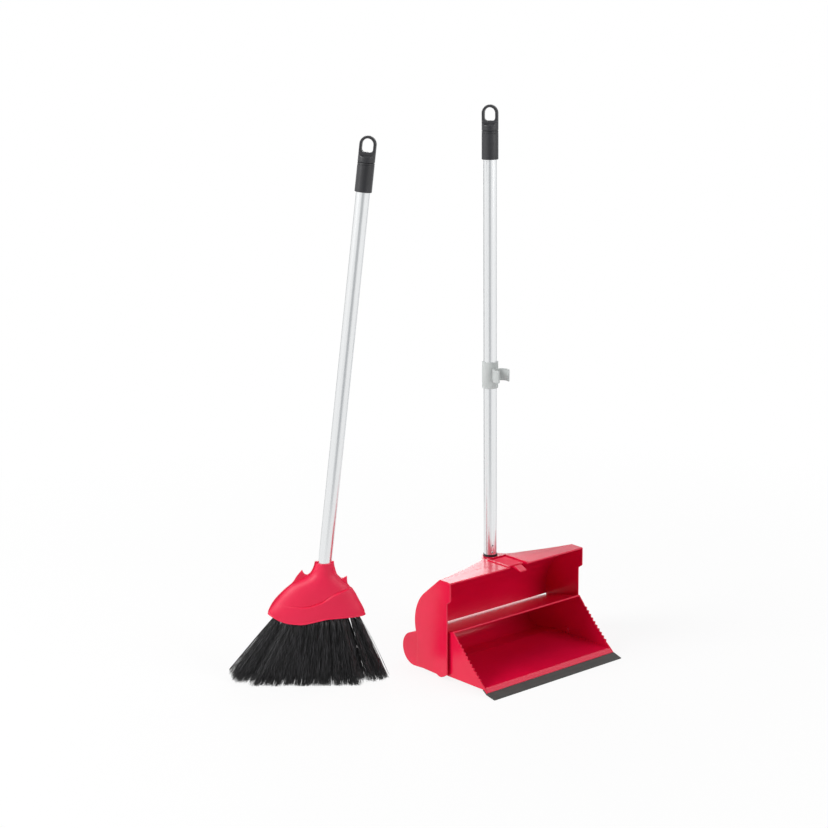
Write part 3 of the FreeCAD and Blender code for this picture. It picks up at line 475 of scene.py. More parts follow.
def extrudedRubber(name):
    # Extruded dark grey rubber: nearly matt, with die lines along the blade and a little dust.
    material, tree, place = startMaterial(name, {
        "IOR": 1.52, "Specular IOR Level": 0.35, "Sheen Weight": 0.05,
    })
    along = addNode(tree, "Mapping", {
        "Scale": (4.0, 900.0, 900.0),  # lines about 1.1 mm apart
    }, {"Vector": (place, "Object")})
    lines = addNode(tree, "TexNoise", {
        "Scale": 1.0, "Detail": 3.0,
    }, {"Vector": (along, "Vector")})
    dust = addNode(tree, "TexNoise", {
        "Scale": 45.0, "Detail": 6.0,
    }, {"Vector": (place, "Object")})
    mixed = addNode(tree, "Math", {
        "operation": "MULTIPLY",
    }, {0: (lines, "Fac"), 1: (dust, "Fac")})
    addNode(tree, "ValToRGB", {
        "stops": ((0.12, "#323331"), (0.4, "#434442")),
    }, {"Fac": (mixed, "Value")}, "Base Color")
    addNode(tree, "MapRange", {
        "To Min": 0.5, "To Max": 0.75,
    }, {"Value": (dust, "Fac")}, "Roughness")
    addNode(tree, "Bump", {
        "Strength": 0.25, "Distance": 0.0002,
    }, {"Height": (lines, "Fac")}, "Normal")
    return material


lipRubber = extrudedRubber("extruded_rubber_lip")
print("materials made")


# Hood: two side panels, and a top plate that runs down the back as a barrel

hood = dict(
    half=148.0, wall=2.5, top=169.4, brow=(-browDepth, 138.0), browFoot=(0, 132.0),
    barrel=(13.3, 84.0), radius=69.0, slope=39.5, rearEdge=76.0, lowEdge=66.5,
    bottom=5.5, chamfer=(10.0, 12.0), pivot=(19.0, 16.0), foot=13.0,
    bore=3.06, boreReach=15.0, skin=1.2,  # the pins' holes stop short of the hood's outside
    bossReach=3.7, outerEase=1.6, innerEase=0.6, ledgeEase=0.5, endInset=1.8,
    ledge=((144.0, 17.9), (118.0, 23.8), (84.0, 33.0), (54.0, 42.6), (30.0, 51.0)),
    socket=14.45, socketLap=0.5, socketDrop=0.02, poleBore=11.05, boreDepth=25.3,
    seatY=76.65, seatZ=155.4, seatRadius=4.6, seatReach=4.0, screw=1.75, screwDepth=12.0,
    roomFront=-40.0, roomLow=-30.0, roomRear=47.8, roomTurn=-60,
    gussets=(19.9, 45.0, 83.0), gussetWall=2.0, gussetSpan=4.0, gussetClear=1.2,
    catchHalf=18.7, catchRear=44.63, catchDepth=6.0, pin=(37.73, 160.0), pinRadius=1.5,
    beadSide=3.4, beadRear=1.8, beadHeight=1.7, beadLap=0.5, beadSunk=0.6,
    beadFront=1.0, beadEase=1.0,
)


def slopeTouch(radius):
    # where the straight slope of the hood's back meets its barrel
    angle = math.radians(90 - hood["slope"])
    y, z = hood["barrel"]
    return y + radius * math.cos(angle), z + radius * math.sin(angle)


def slopeY(height, radius):
    y, z = slopeTouch(radius)
    return y - (height - z) / math.tan(math.radians(hood["slope"]))


def slopeZ(depth, radius):
    y, z = slopeTouch(radius)
    return z + (y - depth) * math.tan(math.radians(hood["slope"]))


def wallAngle(height, radius):
    return math.degrees(math.asin((height - hood["barrel"][1]) / radius))


def hoodPanelOutline():
    pivotZ = hood["pivot"][1]
    dip = math.sqrt(hood["foot"] ** 2 - (pivotZ - hood["bottom"]) ** 2)
    footStart = math.degrees(math.atan2(hood["bottom"] - pivotZ, -dip))
    rearAngle = -math.degrees(math.acos((hood["rearEdge"] - hood["barrel"][0]) / hood["radius"]))
    rearStart = arc(hood["barrel"], hood["radius"], 90 - hood["slope"], rearAngle, 3)
    corners = [
        (0, hood["chamfer"][1]), hood["browFoot"], hood["brow"], (hood["brow"][0], hood["top"]),
        (slopeY(hood["top"], hood["radius"]), hood["top"]), rearStart[0], rearStart[-1],
        (hood["rearEdge"], hood["bottom"]), (hood["chamfer"][0], hood["bottom"]),
    ]
    front = eased(corners, (3, 3, 3, 2, 3, 0, 0, 3, 0), 5)
    first = next(i for i, p in enumerate(front) if math.dist(p, rearStart[0]) < 1e-3)
    upper, lower = front[:first], front[first + 2:]
    foot = arc(hood["pivot"], hood["foot"], -180 - footStart, footStart, 6)
    return upper + rearStart + lower[:-1] + foot + [corners[-1]]


def hoodWall():
    outer, inner = hood["radius"], hood["radius"] - hood["wall"]
    ceiling = hood["top"] - hood["wall"]
    high = 90 - hood["slope"]
    back = arc(hood["barrel"], outer, high, wallAngle(hood["lowEdge"], outer), 3)
    front = arc(hood["barrel"], inner, wallAngle(hood["lowEdge"], inner), high, 3)
    points = [
        (hood["brow"][0], ceiling), (hood["brow"][0], hood["top"]),
        (slopeY(hood["top"], outer), hood["top"]),
    ] + back + front + [(slopeY(ceiling, inner), ceiling)]
    radii = [1.0, 1.2, 3.0] + [0] * (len(back) - 1) + [1.1, 1.1] + [0] * (len(front) - 1) + [0.5]
    return eased(points, radii, 5)


def ledgeLine():
    # the ledge's rear edge on the right, as a smooth line ending where it touches the socket
    inner = Vector(hood["ledge"][-1]) - Vector((0, poleY))
    turn = math.atan2(inner.y, inner.x) + math.acos(hood["socket"] / inner.length)
    touch = (hood["socket"] * math.cos(turn), poleY + hood["socket"] * math.sin(turn))
    return throughPoints(hood["ledge"] + (touch,), 6)


def ledgeOutline():
    right = ledgeLine()
    left = [(-x, y) for x, y in reversed(right)]
    start = math.degrees(math.atan2(right[-1][1] - poleY, right[-1][0]))
    behind = arc((0, poleY), hood["socket"] - hood["socketLap"], start, 180 - start)
    return right[:-1] + behind + left[1:]


def gussetOutline(x):
    middle = hood["radius"] - hood["wall"] / 2
    under = hood["top"] - hood["wall"] / 2
    near = [p[1] for p in ledgeLine() if p[0] <= x + hood["gussetSpan"]]
    rear = min(near) - hood["gussetClear"]
    return [(slopeY(under, middle), under), (rear, under), (rear, slopeZ(rear, middle))]


def catchBead():
    # a raised bead frames the lever's slot on three sides
    lap = hood["beadLap"]
    inner, rear = hood["catchHalf"] - lap, hood["catchRear"] - lap
    front = hood["beadFront"] - browDepth
    outer, back = hood["catchHalf"] + hood["beadSide"], hood["catchRear"] + hood["beadRear"]
    outline = eased([
        (-outer, front), (-inner, front), (-inner, rear), (inner, rear), (inner, front),
        (outer, front), (outer, back), (-outer, back),
    ], (1.6, 1.6, 1, 1, 1.6, 1.6, 4, 4))
    low, high = hood["top"] - hood["beadSunk"], hood["top"] + hood["beadHeight"]
    return slab(outline, low, high, "z", 0, hood["beadEase"])


def makeHood():
    half, wall, top = hood["half"], hood["wall"], hood["top"]
    outerEase, innerEase, ledgeEase = hood["outerEase"], hood["innerEase"], hood["ledgeEase"]
    panel = hoodPanelOutline()
    shell = bar(hoodWall(), half - hood["endInset"])
    right = slab(panel, half - wall, half, "x", innerEase, outerEase)
    left = slab(panel, -half, -half + wall, "x", outerEase, innerEase)
    ledge = slab(ledgeOutline(), top - wall, top, "z", ledgeEase, ledgeEase)
    ring = circle((0, poleY), hood["socket"], 4)
    socket = slab(ring, hood["barrel"][1], top - hood["socketDrop"], "z", 0, softEdge)
    seat = slab(
        circle((0, hood["seatZ"]), hood["seatRadius"], 10),
        hood["seatY"] - hood["seatReach"], hood["seatY"], "y", 0, softEdge,
    )
    carve(socket, "UNION", seat)
    # the socket ends at the hood's inner face
    inner, ceiling = hood["radius"] - wall, top - wall
    room = bar(
        [(hood["roomFront"], hood["roomLow"]), (hood["roomFront"], ceiling)]
        + [(slopeY(ceiling, inner), ceiling)]
        + arc(hood["barrel"], inner, 90 - hood["slope"], hood["roomTurn"], 3)
        + [(hood["roomRear"], hood["roomLow"])], past,
    )
    carve(socket, "DIFFERENCE", room)
    bosses, webs, bores = [], [], []
    for side in (-1, 1):
        ends = sorted((side * (half - wall - hood["bossReach"]), side * (half - wall / 2)))
        eases = (0.5, 0) if side > 0 else (0, 0.5)
        bosses.append(slab(circle(hood["pivot"], hood["foot"], 6), *ends, "x", *eases))
        ends = sorted((side * (half - hood["boreReach"]), side * (half - hood["skin"])))
        bores.append(slab(circle(hood["pivot"], hood["bore"], 8), *ends))
    thick = hood["gussetWall"] / 2
    for x in hood["gussets"]:
        for side in (-1, 1):
            webs.append(slab(gussetOutline(x), side * x - thick, side * x + thick))
    carve(shell, "UNION", left, right, ledge, socket, catchBead(), *webs, *bosses)
    catchHalf, catchRear = hood["catchHalf"], hood["catchRear"]
    opening = rectangle(-catchHalf, catchHalf, hood["roomFront"], catchRear)
    catch = slab(eased(opening, (0, 0, 2, 2)), top - hood["catchDepth"], past, "z")
    poleBore = slab(circle((0, poleY), hood["poleBore"], 5), top - hood["boreDepth"], past, "z")
    pinReach = catchHalf + hood["gussetWall"] + 1
    pinBore = bar(circle(hood["pin"], hood["pinRadius"], 15), pinReach)
    screwBore = slab(
        circle((0, hood["seatZ"]), hood["screw"], 15),
        hood["seatY"] - hood["screwDepth"], hood["seatY"] + 1, "y",
    )
    carve(shell, "DIFFERENCE", catch, poleBore, pinBore, *bores, screwBore)
    settle(shell, "hood", panPlace, "hood", hoodRed, ("hood_shell",))


makeHood()
print("hood made")


# Catch lever in the hood's top, worked by the foot

lever = dict(
    half=16.3, front=-2.0, rear=42.23, wall=3.0, edge=0.7,
    margin=1.3, well=0.9, tread=0.35, treadLap=0.2, treadEdge=0.3,
    hubRadius=3.5, hubHalf=18.4, hole=1.56,
    noseHalf=7.3, noseBack=2.0, noseRear=-7.0, noseFront=-21.0, neck=2.4, noseDrop=6.1,
    noseTip=2.6, noseEdge=0.8, noseRound=0.9,
    hair=0.05,  # a rounding ends this far short of the next, and the nose starts this far down
)


def makeLever():
    top, wall, front, rear = hood["top"], lever["wall"], lever["front"], lever["rear"]
    y, z = hood["pin"]
    hub, hair = lever["hubRadius"], lever["hair"]
    side = eased([
        (front, top), (rear, top), (rear, top - wall), (y + hub, z), (y + hub, z - hub),
        (y - hub, z - hub), (y - hub, top - wall), (front, top - wall),
    ], (0.8, 1.5, 0, 0, hub - hair, hub - hair, 1.5, 0.8))
    tongue = bar(side, lever["half"], lever["edge"])
    # the nose slopes down in front of the brow, behind it a sunk neck joins it to the tongue
    neck, tip = top - lever["neck"], top - lever["noseDrop"]
    noseBack, noseRear, noseFront = lever["noseBack"], lever["noseRear"], lever["noseFront"]
    turn = lever["noseRound"]
    nose = bar(eased([
        (noseBack, neck), (noseRear, neck), (noseRear, top - hair), (noseFront, tip),
        (noseFront, tip - lever["noseTip"]), (noseRear, neck - wall), (noseBack, neck - wall),
    ], (0, 0, turn, turn, turn, 4, 0)), lever["noseHalf"], lever["noseEdge"])
    axle = bar(circle(hood["pin"], hub, 8), lever["hubHalf"], softEdge)
    inside, margin, floor = lever["half"] - lever["margin"], lever["margin"], top - lever["well"]
    pad = eased(rectangle(-inside, inside, front + margin, rear - margin), (1, 1, 2.5, 2.5))
    carve(tongue, "DIFFERENCE", slab(pad, floor, past, "z"))
    carve(tongue, "UNION", nose, axle)
    carve(tongue, "DIFFERENCE", bar(circle(hood["pin"], lever["hole"], 15), past))
    settle(tongue, "lever", panPlace, "latch", hoodRed, ("latch_lever",))
    # its foot pad has a matt texture for grip
    tread = slab(pad, floor - lever["treadLap"], top - lever["tread"], "z", 0, lever["treadEdge"])
    settle(tread, "lever_pad", panPlace, "latch", padRed)


makeLever()
print("lever made")


# Pan: floor, round bin at the back, side walls with comb teeth

pan = dict(
    half=141.5, wall=2.5, rim=(-8.3, 86.0), lip=(-91.0, 6.5), lipWall=2.0, ramp=(-83.0, 12.2),
    floorBreak=(51.0, 9.8), keel=(10.0, 7.0), bin=(93.5, 28.5), binRadius=28.5,
    bend=(77.5, 65.0), endInset=1.5,
    bead=1.7, beadIn=0.9, beadInset=1.2, ease=0.5, pinBore=3.02,
    combStart=25.0, combPitch=7.2, combCount=10, combTooth=2.3, combDip=0.8, combSteps=3,
    bow=2.2, byLip=(6.0, 12.0), byRim=(16.0, 8.0),  # plain points past the comb's ends
)


def touchAngle(point, centre, radius, side):
    # where a line from the point touches the circle
    away = Vector(point) - Vector(centre)
    turn = math.atan2(away.y, away.x) + side * math.acos(radius / away.length)
    return math.degrees(turn)


def lipCorner():
    # underside of the lip, square to its slope, and its meeting with the floor's underside
    along = (Vector(pan["ramp"]) - Vector(pan["lip"])).normalized()
    under = Vector(pan["lip"]) + pan["lipWall"] * Vector((along.y, -along.x))
    rampUnder = Vector((pan["ramp"][0], pan["ramp"][1] - pan["wall"]))
    floor = Vector(pan["keel"]) - rampUnder
    share = (rampUnder - under).cross(floor) / along.cross(floor)
    return tuple(under), tuple(under + along * share)


def panSkin(radius):
    # the rear of the pan from the rim over the bin to the heel, outside or inside
    under = pan["binRadius"] - radius
    rim, bend = [(y, z - under) for y, z in (pan["rim"], pan["bend"])]
    heelFrom = pan["keel"] if radius == pan["binRadius"] else pan["floorBreak"]
    crown = touchAngle(bend, pan["bin"], radius, -1)
    heel = touchAngle(heelFrom, pan["bin"], radius, 1)
    return [rim, bend] + arc(pan["bin"], radius, crown, heel, 4) + [heelFrom]


def combPoints():
    # the side walls' front edge, from the lip up: a shallow bow with a comb of rounded teeth
    length = math.dist(pan["rim"], pan["lip"])
    down = (Vector(pan["lip"]) - Vector(pan["rim"])) / length
    out = Vector((down.y, -down.x))

    def at(along, rise):
        bow = pan["bow"] * math.sin(math.pi * along / length)
        return tuple(Vector(pan["rim"]) + down * along + out * (rise - bow))

    made = [at(length - gap, 0) for gap in pan["byLip"]]
    steps = pan["combSteps"]
    for i in reversed(range(pan["combCount"])):
        middle = pan["combStart"] + pan["combPitch"] * i
        for step in range(steps, -steps - 1, -1):
            part = step / (2 * steps + 1)
            share = math.cos(math.pi * part) ** 2
            rise = (pan["combTooth"] + pan["combDip"]) * share - pan["combDip"]
            made.append(at(middle + part * pan["combPitch"], rise))
    return made + [at(gap, 0) for gap in pan["byRim"]]


def makePan():
    half, wall, ease = pan["half"], pan["wall"], pan["ease"]
    under, corner = lipCorner()
    outer, inner = panSkin(pan["binRadius"]), panSkin(pan["binRadius"] - wall)
    strip = outer + [corner, under, pan["lip"], pan["ramp"]] + inner[::-1]
    plainOuter, plainInner = [0] * (len(outer) - 2), [0] * (len(inner) - 2)
    radii = [1.2] + plainOuter + [4, 1, 0.9, 0.9, 5, 8] + plainInner + [1.2]
    shell = bar(eased(strip, radii), half - pan["endInset"])
    edge = combPoints()
    outline = eased(
        outer + [corner, under, pan["lip"]] + edge,
        [2] + plainOuter + [4, 1, 0.9, 0.9] + [0] * len(edge), 3,
    )
    right = slab(outline, half - wall, half, "x", ease, ease)
    left = slab(outline, -half, -half + wall, "x", ease, ease)
    # a bead stiffens the rim and catches the light from end to end
    y, z = pan["rim"]
    bead = bar(circle((y + pan["beadIn"], z - wall / 2), pan["bead"], 20), half - pan["beadInset"])
    carve(shell, "UNION", bead, right, left)
    carve(shell, "DIFFERENCE", bar(circle(hood["pivot"], pan["pinBore"], 8), past))
    settle(shell, "pan", panPlace, "pan", panRed, ("pan_scoop",))


makePan()
print("pan made")


# Rubber lip, wedge-shaped, clipped under the pan's front edge

rubber = dict(
    reach=18.0, sole=3.5, tip=1.3, grip=2.5, wall=2.3, half=141.5, edge=0.25,
    eases=(0, 0, 0, 0.8, 0.5, 0.3, 1.5, 2.5, 1.5, 0.8),
)


def makeRubber():
    under, corner = lipCorner()
    lip, keel = pan["lip"], Vector(pan["keel"])
    along = (Vector(pan["ramp"]) - Vector(lip)).normalized()
    share = (pan["ramp"][0] + rubber["grip"] - corner[0]) / (keel.x - corner[0])
    held = Vector(corner).lerp(keel, share)
    tip = lip[0] - rubber["reach"]
    square = Vector((along.y, -along.x)) * rubber["wall"]
    section = [
        tuple(held), corner, under, lip, (tip, rubber["tip"]), (tip, 0),
        (tip + rubber["sole"], 0), tuple(Vector(under) + square),
        (corner[0] + square.x / 2, corner[1] - rubber["wall"]), (held.x, held.y - rubber["wall"]),
    ]
    blade = bar(eased(section, rubber["eases"]), rubber["half"], rubber["edge"])
    settle(blade, "lip", panPlace, "pan", lipRubber, ("lip_rubber",), 30)


makeRubber()
print("rubber lip made")


# Poles, grips, hanging eyes and clip, drawn about the pole's own axis

tube = dict(radius=11.0, wall=1.0, panTop=872.0, panLow=173.2, broomTop=840.0, broomLow=172.0)


def tubeProfile(low, high):
    outer, inner = tube["radius"], tube["radius"] - tube["wall"]
    return eased(rectangle(inner, outer, low, high), (0.2, 0.35, 0.35, 0.2), 3)


for name, place, body, low, high, stands in (
    ("pan_pole", polePlace, "hood", tube["panLow"], tube["panTop"], "pan_tube"),
    ("broom_pole", handlePlace, "broom", tube["broomLow"], tube["broomTop"], "broom_tube"),
):
    pole = turned(tubeProfile(low, high), 128)
    settle(pole, name, place, body, poleAluminium, (stands,))

grip = dict(radius=13.4, bore=11.05, length=44.9, cap=1.6, groove=0.5, grooveDrop=3.0, mouth=0.8)


def gripProfile(tubeTop):
    high = tubeTop + grip["cap"]
    low = high - grip["length"]
    groove = high - grip["grooveDrop"]
    outer, cut, bore = grip["radius"], grip["groove"], grip["bore"]
    corners = [
        (bore, low), (outer, low), (outer, groove - cut), (outer - cut, groove - cut / 3),
        (outer - cut, groove + cut / 3), (outer, groove + cut), (outer, high), (bore, high),
    ]
    return eased(corners, (0.4, grip["mouth"], 0.15, 0.1, 0.1, 0.15, 0.5, 0.2), 3)


for name, place, body, tubeTop in (
    ("pan_grip", polePlace, "hood", tube["panTop"]),
    ("broom_grip", handlePlace, "broom", tube["broomTop"]),
):
    sleeve = turned(gripProfile(tubeTop), 96)
    settle(sleeve, name, place, body, gripBlack, (name + "_sleeve",))


def soften(piece, voxel, rounds):
    # a fine remesh, relaxed so that every moulded edge is rounded
    remesh = piece.modifiers.new("remesh", "REMESH")
    remesh.mode, remesh.voxel_size = "VOXEL", voxel
    relax = piece.modifiers.new("relax", "SMOOTH")
    relax.factor, relax.iterations = 0.5, rounds
    bake(piece)


def lifted(place, height):
    return place @ Matrix.Translation((0, 0, height * mm))


eye = dict(
    base=1.9, radius=13.4, edge=0.6, length=41.1, thickness=9.0, shoulder=15.0, shoulderRise=7.0,
    flankOut=3.0, flankRound=2.2, flankFall=1.2, flankSteps=14, flankOver=5.0,
    holeHalf=9.1, holeLow=16.0, holeCorner=4.5, plug=9.92, plugLength=26.0, plugLap=2.0,
    voxel=0.55, relax=6, panTurn=-55.0, broomTurn=-10.0,
)


def makeEye(name, place, body, turnAngle):
    # a round base that flows into a flat ring
    outer, edge, length, out = eye["radius"], eye["edge"], eye["length"], eye["flankOut"]
    crown = length - outer
    dome = arc((0, crown), outer, 0, 90, 6)
    form = turned([(0, 0), (outer - edge, 0), (outer, edge)] + dome, 96)
    # the ring is thinner than the base, with a smooth hollow between them on each side
    flat = eye["thickness"] / 2
    far = outer + out
    low, over = eye["shoulder"] - eye["shoulderRise"], length + eye["flankOver"]
    flank = []
    for k in range(eye["flankSteps"] + 1):
        t = k / eye["flankSteps"]
        rise = (eye["shoulder"] + out - low) * (1 - t) ** eye["flankFall"]
        flank.append((flat + (far - flat) * t ** eye["flankRound"], low + rise))
    cheeks = []
    for side in (-1, 1):
        line = [(side * y, z) for y, z in flank]
        cheeks.append(bar(line + [(side * far, over), (side * flat, over)], past))
    half, low, corner = eye["holeHalf"], eye["holeLow"], eye["holeCorner"]
    hole = arc((0, crown), half, 0, 180, 6) + [(-half, low), (half, low)]
    radii = [0] * (len(hole) - 2) + [corner, corner]
    window = bar(eased(hole, radii, 6), past, across="y")
    carve(form, "DIFFERENCE", *cheeks, window)
    soften(form, eye["voxel"], eye["relax"])
    plug, depth, lap = eye["plug"], -eye["plugLength"], eye["plugLap"]
    carve(form, "UNION", turned([(0, depth), (plug, depth), (plug, lap), (0, lap)], 64))
    turn = Matrix.Rotation(math.radians(turnAngle), 4, "Z")
    stands = (body.replace("_eye", "_hanging_eye"),)
    settle(form, name, place @ turn, body, gripBlack, stands, 60)


makeEye("pan_eye", lifted(polePlace, tube["panTop"] + eye["base"]), "pan_eye", eye["panTurn"])
makeEye(
    "broom_eye", lifted(handlePlace, tube["broomTop"] + eye["base"]), "broom_eye", eye["broomTurn"],
)

clip = dict(
    low=457.0, height=44.0, bore=11.05, wall=2.2, jawReach=27.0, jawRise=14.0, jawHeight=20.0,
    jawWall=2.4, opening=122.0, tipBead=0.35, neck=12.0, neckLap=0.9, edge=0.6,
)


def makeClip():
    bore, height, edge = clip["bore"], clip["height"], clip["edge"]
    outer = bore + clip["wall"]
    collar = turned(eased(rectangle(bore, outer, 0, height), (0.3, 0.7, 0.7, 0.3), 3))
    centre = (0, -clip["jawReach"])
    first, last = -90 + clip["opening"] / 2, 270 - clip["opening"] / 2
    low, high = clip["jawRise"], clip["jawRise"] + clip["jawHeight"]
    jaw = slab(
        arc(centre, bore + clip["jawWall"], first, last, 4) + arc(centre, bore, last, first, 4),
        low, high, "z", edge, edge,
    )
    # the jaw's tips are rounded so that a pole slips in
    beads = []
    middle = bore + clip["jawWall"] / 2
    for angle in (math.radians(first), math.radians(last)):
        tip = (centre[0] + middle * math.cos(angle), centre[1] + middle * math.sin(angle))
        outline = circle(tip, clip["jawWall"] / 2 + clip["tipBead"], 20)
        beads.append(slab(outline, low, high, "z", edge, edge))
    half, lap = clip["neck"] / 2, clip["neckLap"]
    bridge = rectangle(-half, half, centre[1] + bore + lap, -bore - lap)
    neck = slab(bridge, low, high, "z", edge, edge)
    carve(collar, "UNION", jaw, neck, *beads)
    settle(
        collar, "clip", lifted(polePlace, clip["low"]), "clip", clipGrey,
        ("broom_clip",),
    )


makeClip()
print("poles, grips, eyes and clip made")


# Broom head: two moulded covers on a core, whose flat wing shows between them

head = dict(
    # middle, half width and half depth at a height
    ovals=(
        (197.0, 23.7, 13.9, 13.9), (180.0, 21.6, 19.0, 15.0), (159.0, 14.0, 46.5, 19.0),
        (134.0, 10.3, 65.8, 22.0), (108.0, 7.8, 78.8, 24.0), (88.0, 7.8, 78.8, 24.0),
    ),
    top=197.0, wall=2.5, seam=2.0, columns=128, rows=210, crowding=24, skirtHeight=100.0,
    # the inset and rise of the skin's rounded lower and upper edges
    lowRound=((0.9, 0.0), (0.3, 0.25)), topRound=((0.2, -0.2), (0.7, 0.0)),
    edge=(
        (-71.0, 110.5), (-51.6, 102.2), (-35.4, 98.8), (-19.2, 98.2), (13.4, 104.2),
        (29.7, 107.2), (54.0, 107.8), (86.6, 107.5),
    ),
    # a crease crosses the head, and below it the skirt stands proud towards the right
    crease=(
        (-60.0, 127.0), (-46.0, 128.4), (-13.6, 127.6), (15.7, 134.4), (41.9, 148.3), (63.0, 154.2),
    ),
    creaseStart=-58.0, creaseFull=20.0, skirt=1.9, skirtFade=22.0, creaseRound=0.8,
    groove=1.7, grooveWidth=0.55, bead=0.9, beadHeight=2.2,
    screwSpread=36.1, screwHeight=118.0, seatDepth=2.4, seatWall=1.6, bossRadius=5.0,
    headRadius=3.8, screwRadius=1.8, screwReach=9.0,
)
block = dict(low=112.0, high=124.0, centre=9.34, half=67.1, deep=18.07, sides=96, wing=2.0)
spigot = dict(low=122.0, length=110.0, radius=9.92, tubeRoom=11.05)


def gradual(value, low, high):
    t = min(1.0, max(0.0, (value - low) / (high - low)))
    return t * t * (3 - 2 * t)


def proudness(u, z, rise):
    # how far the skin stands out beyond its oval
    drop = between(head["crease"], u)[0] - z
    share = gradual(u, head["creaseStart"], head["creaseFull"])
    out = -head["groove"] * share * math.exp(-(drop / head["grooveWidth"]) ** 2)
    if drop > 0:
        skirt = head["skirt"] * share * (1 - math.exp(-drop / head["creaseRound"]))
        out += skirt * math.exp(-drop / head["skirtFade"])
    if rise < head["beadHeight"]:
        out += head["bead"] * math.sin(math.pi * max(rise, 0) / head["beadHeight"]) ** 0.5
    return out


def coverPoint(side, turn, inset, z, low):
    centre, half, deep = between(head["ovals"], z)
    u = centre + half * math.cos(math.pi * turn)
    out = proudness(u, z, z - low) * (1 - inset / head["wall"]) - inset
    half, deep = half + out, deep + out
    start = math.asin(head["seam"] / deep)
    angle = start + (math.pi - 2 * start) * turn
    return centre + half * math.cos(angle), side * deep * math.sin(angle), z


def makeCover(name, side):
    wall, top, rows, count = head["wall"], head["top"], head["rows"], head["columns"]
    centre, half, _ = between(head["ovals"], head["skirtHeight"])
    mesh = bmesh.new()
    columns = []
    for i in range(count + 1):
        # columns stand closer together at the ends, where the oval turns
        turn = i / count - math.sin(4 * math.pi * i / count) / head["crowding"]
        low = between(head["edge"], centre + half * math.cos(math.pi * turn))[0]
        outer = [(inset, low + rise) for inset, rise in head["lowRound"]]
        outer += [(0, low + (top - low) * k / rows) for k in range(1, rows)]
        outer += [(inset, top + rise) for inset, rise in head["topRound"]]
        inner = [(wall, z) for _, z in outer]
        columns.append([
            [mesh.verts.new(coverPoint(side, turn, inset, z, low)) for inset, z in line]
            for line in (outer, inner)
        ])
    for here, there in zip(columns, columns[1:]):
        for a, b in zip(here, there):
            for k in range(len(a) - 1):
                mesh.faces.new((a[k], a[k + 1], b[k + 1], b[k]))
        for k in (0, -1):
            mesh.faces.new((here[0][k], here[1][k], there[1][k], there[0][k]))
    for outer, inner in (columns[0], columns[-1]):
        for k in range(len(outer) - 1):
            mesh.faces.new((outer[k], outer[k + 1], inner[k + 1], inner[k]))
    bmesh.ops.recalc_face_normals(mesh, faces=mesh.faces)
    skin = asObject(mesh)
    if side > 0:
        addScrewSeats(skin)
    settle(skin, name, broomPlace, "broom", broomRed, (name,), 50)


def addScrewSeats(skin):
    centre, half, deep = between(head["ovals"], head["screwHeight"])
    wall = head["seatWall"]
    for spread in (-head["screwSpread"], head["screwSpread"]):
        u = block["centre"] + spread
        seat = deep * math.sqrt(1 - ((u - centre) / half) ** 2) - head["seatDepth"]
        at = (u, head["screwHeight"])
        boss = slab(circle(at, head["bossRadius"], 10), seat - wall, seat + wall / 2, "y")
        room = slab(circle(at, head["headRadius"], 10), seat, past, "y")
        hole = slab(circle(at, head["screwRadius"], 15), seat - head["screwReach"], seat + 1, "y")
        carve(skin, "UNION", boss)
        carve(skin, "DIFFERENCE", room, hole)


makeCover("front_cover", -1)
makeCover("rear_cover", 1)

# the wing's outline, whose two horns stand clear of the covers
wing = dict(
    left=(
        (
            (7.2, 198.4), (5.0, 190.0), (1.0, 181.6), (-3.4, 177.0), (-7.6, 176.2),
            (-11.2, 178.8), (-13.8, 184.1),
        ), (
            (-13.8, 184.1), (-22.4, 173.8), (-30.0, 162.6), (-43.0, 151.5), (-58.6, 135.4),
            (-67.5, 121.5), (-71.3, 112.3),
        ),
    ),
    right=(
        ((85.2, 112.0), (78.8, 127.0), (71.0, 145.8), (59.9, 159.5), (58.6, 173.1)),
        (
            (58.6, 173.1), (53.5, 170.6), (47.8, 170.2), (43.6, 174.0), (41.0, 181.0),
            (38.8, 190.0), (37.8, 198.4),
        ),
    ),
)


def makeCore():
    outline = []
    for line in wing["left"] + wing["right"]:
        outline += throughPoints(line, 5)[:-1]
    outline.append(wing["right"][-1][-1])
    plate = bar(outline, block["wing"], across="y")
    oval = []
    for k in range(block["sides"]):
        angle = 2 * math.pi * k / block["sides"]
        oval.append((
            block["centre"] + block["half"] * math.cos(angle), block["deep"] * math.sin(angle),
        ))
    base = slab(oval, block["low"], block["high"], "z")
    lean = Matrix.Rotation(handleLean, 4, "Y")
    low, high = spigot["low"], spigot["low"] + spigot["length"]
    room = slab(circle((0, 0), spigot["tubeRoom"], 5), tube["broomLow"], tube["broomTop"], "z")
    plug = slab(circle((0, 0), spigot["radius"], 5), low, high, "z")
    for tool in (room, plug):
        tool.data.transform(lean)
    carve(plate, "UNION", base)
    carve(plate, "DIFFERENCE", room)
    carve(plate, "UNION", plug)
    settle(plate, "broom_core", broomPlace, "broom", broomRed, ("brush_block",))


makeCore()
print("broom head made")


# Bristles: tufts of strands that fan out to the floor

bristle = dict(
    rows=4, rowPitch=8.6, pitch=8.2, endMargin=3.5, root=112.0,
    strands=135, rings=7, sides=3, radius=0.36, tipRadius=0.24,
    # how the tufts fan out: by row, and along the head
    frontFan=2.6, rearFan=1.2, fan=1.976, fanShift=-26.9, lean=1.4,
    # a tuft's radius in the core and at the floor, and how its strands gather and stray
    tuft=2.8, tuftTip=11.6, flare=1.2, clumps=7, clumpReach=0.8, clumpSpread=0.36,
    clumpHold=0.55, fray=0.75, grow=(0.75, 1.2), stray=0.015, strayGrow=(1.2, 1.5), bow=0.7,
    # the ends' bounds along and across the head, and their height at a place along it
    reach=(-137.4, 125.0), deep=(-40.0, 23.0), floorGap=0.25, uneven=0.6,
    tips=((-137.0, 11.0), (-131.0, 5.5), (-124.0, 1.0), (112.0, 1.0), (119.0, 2.6)),
)


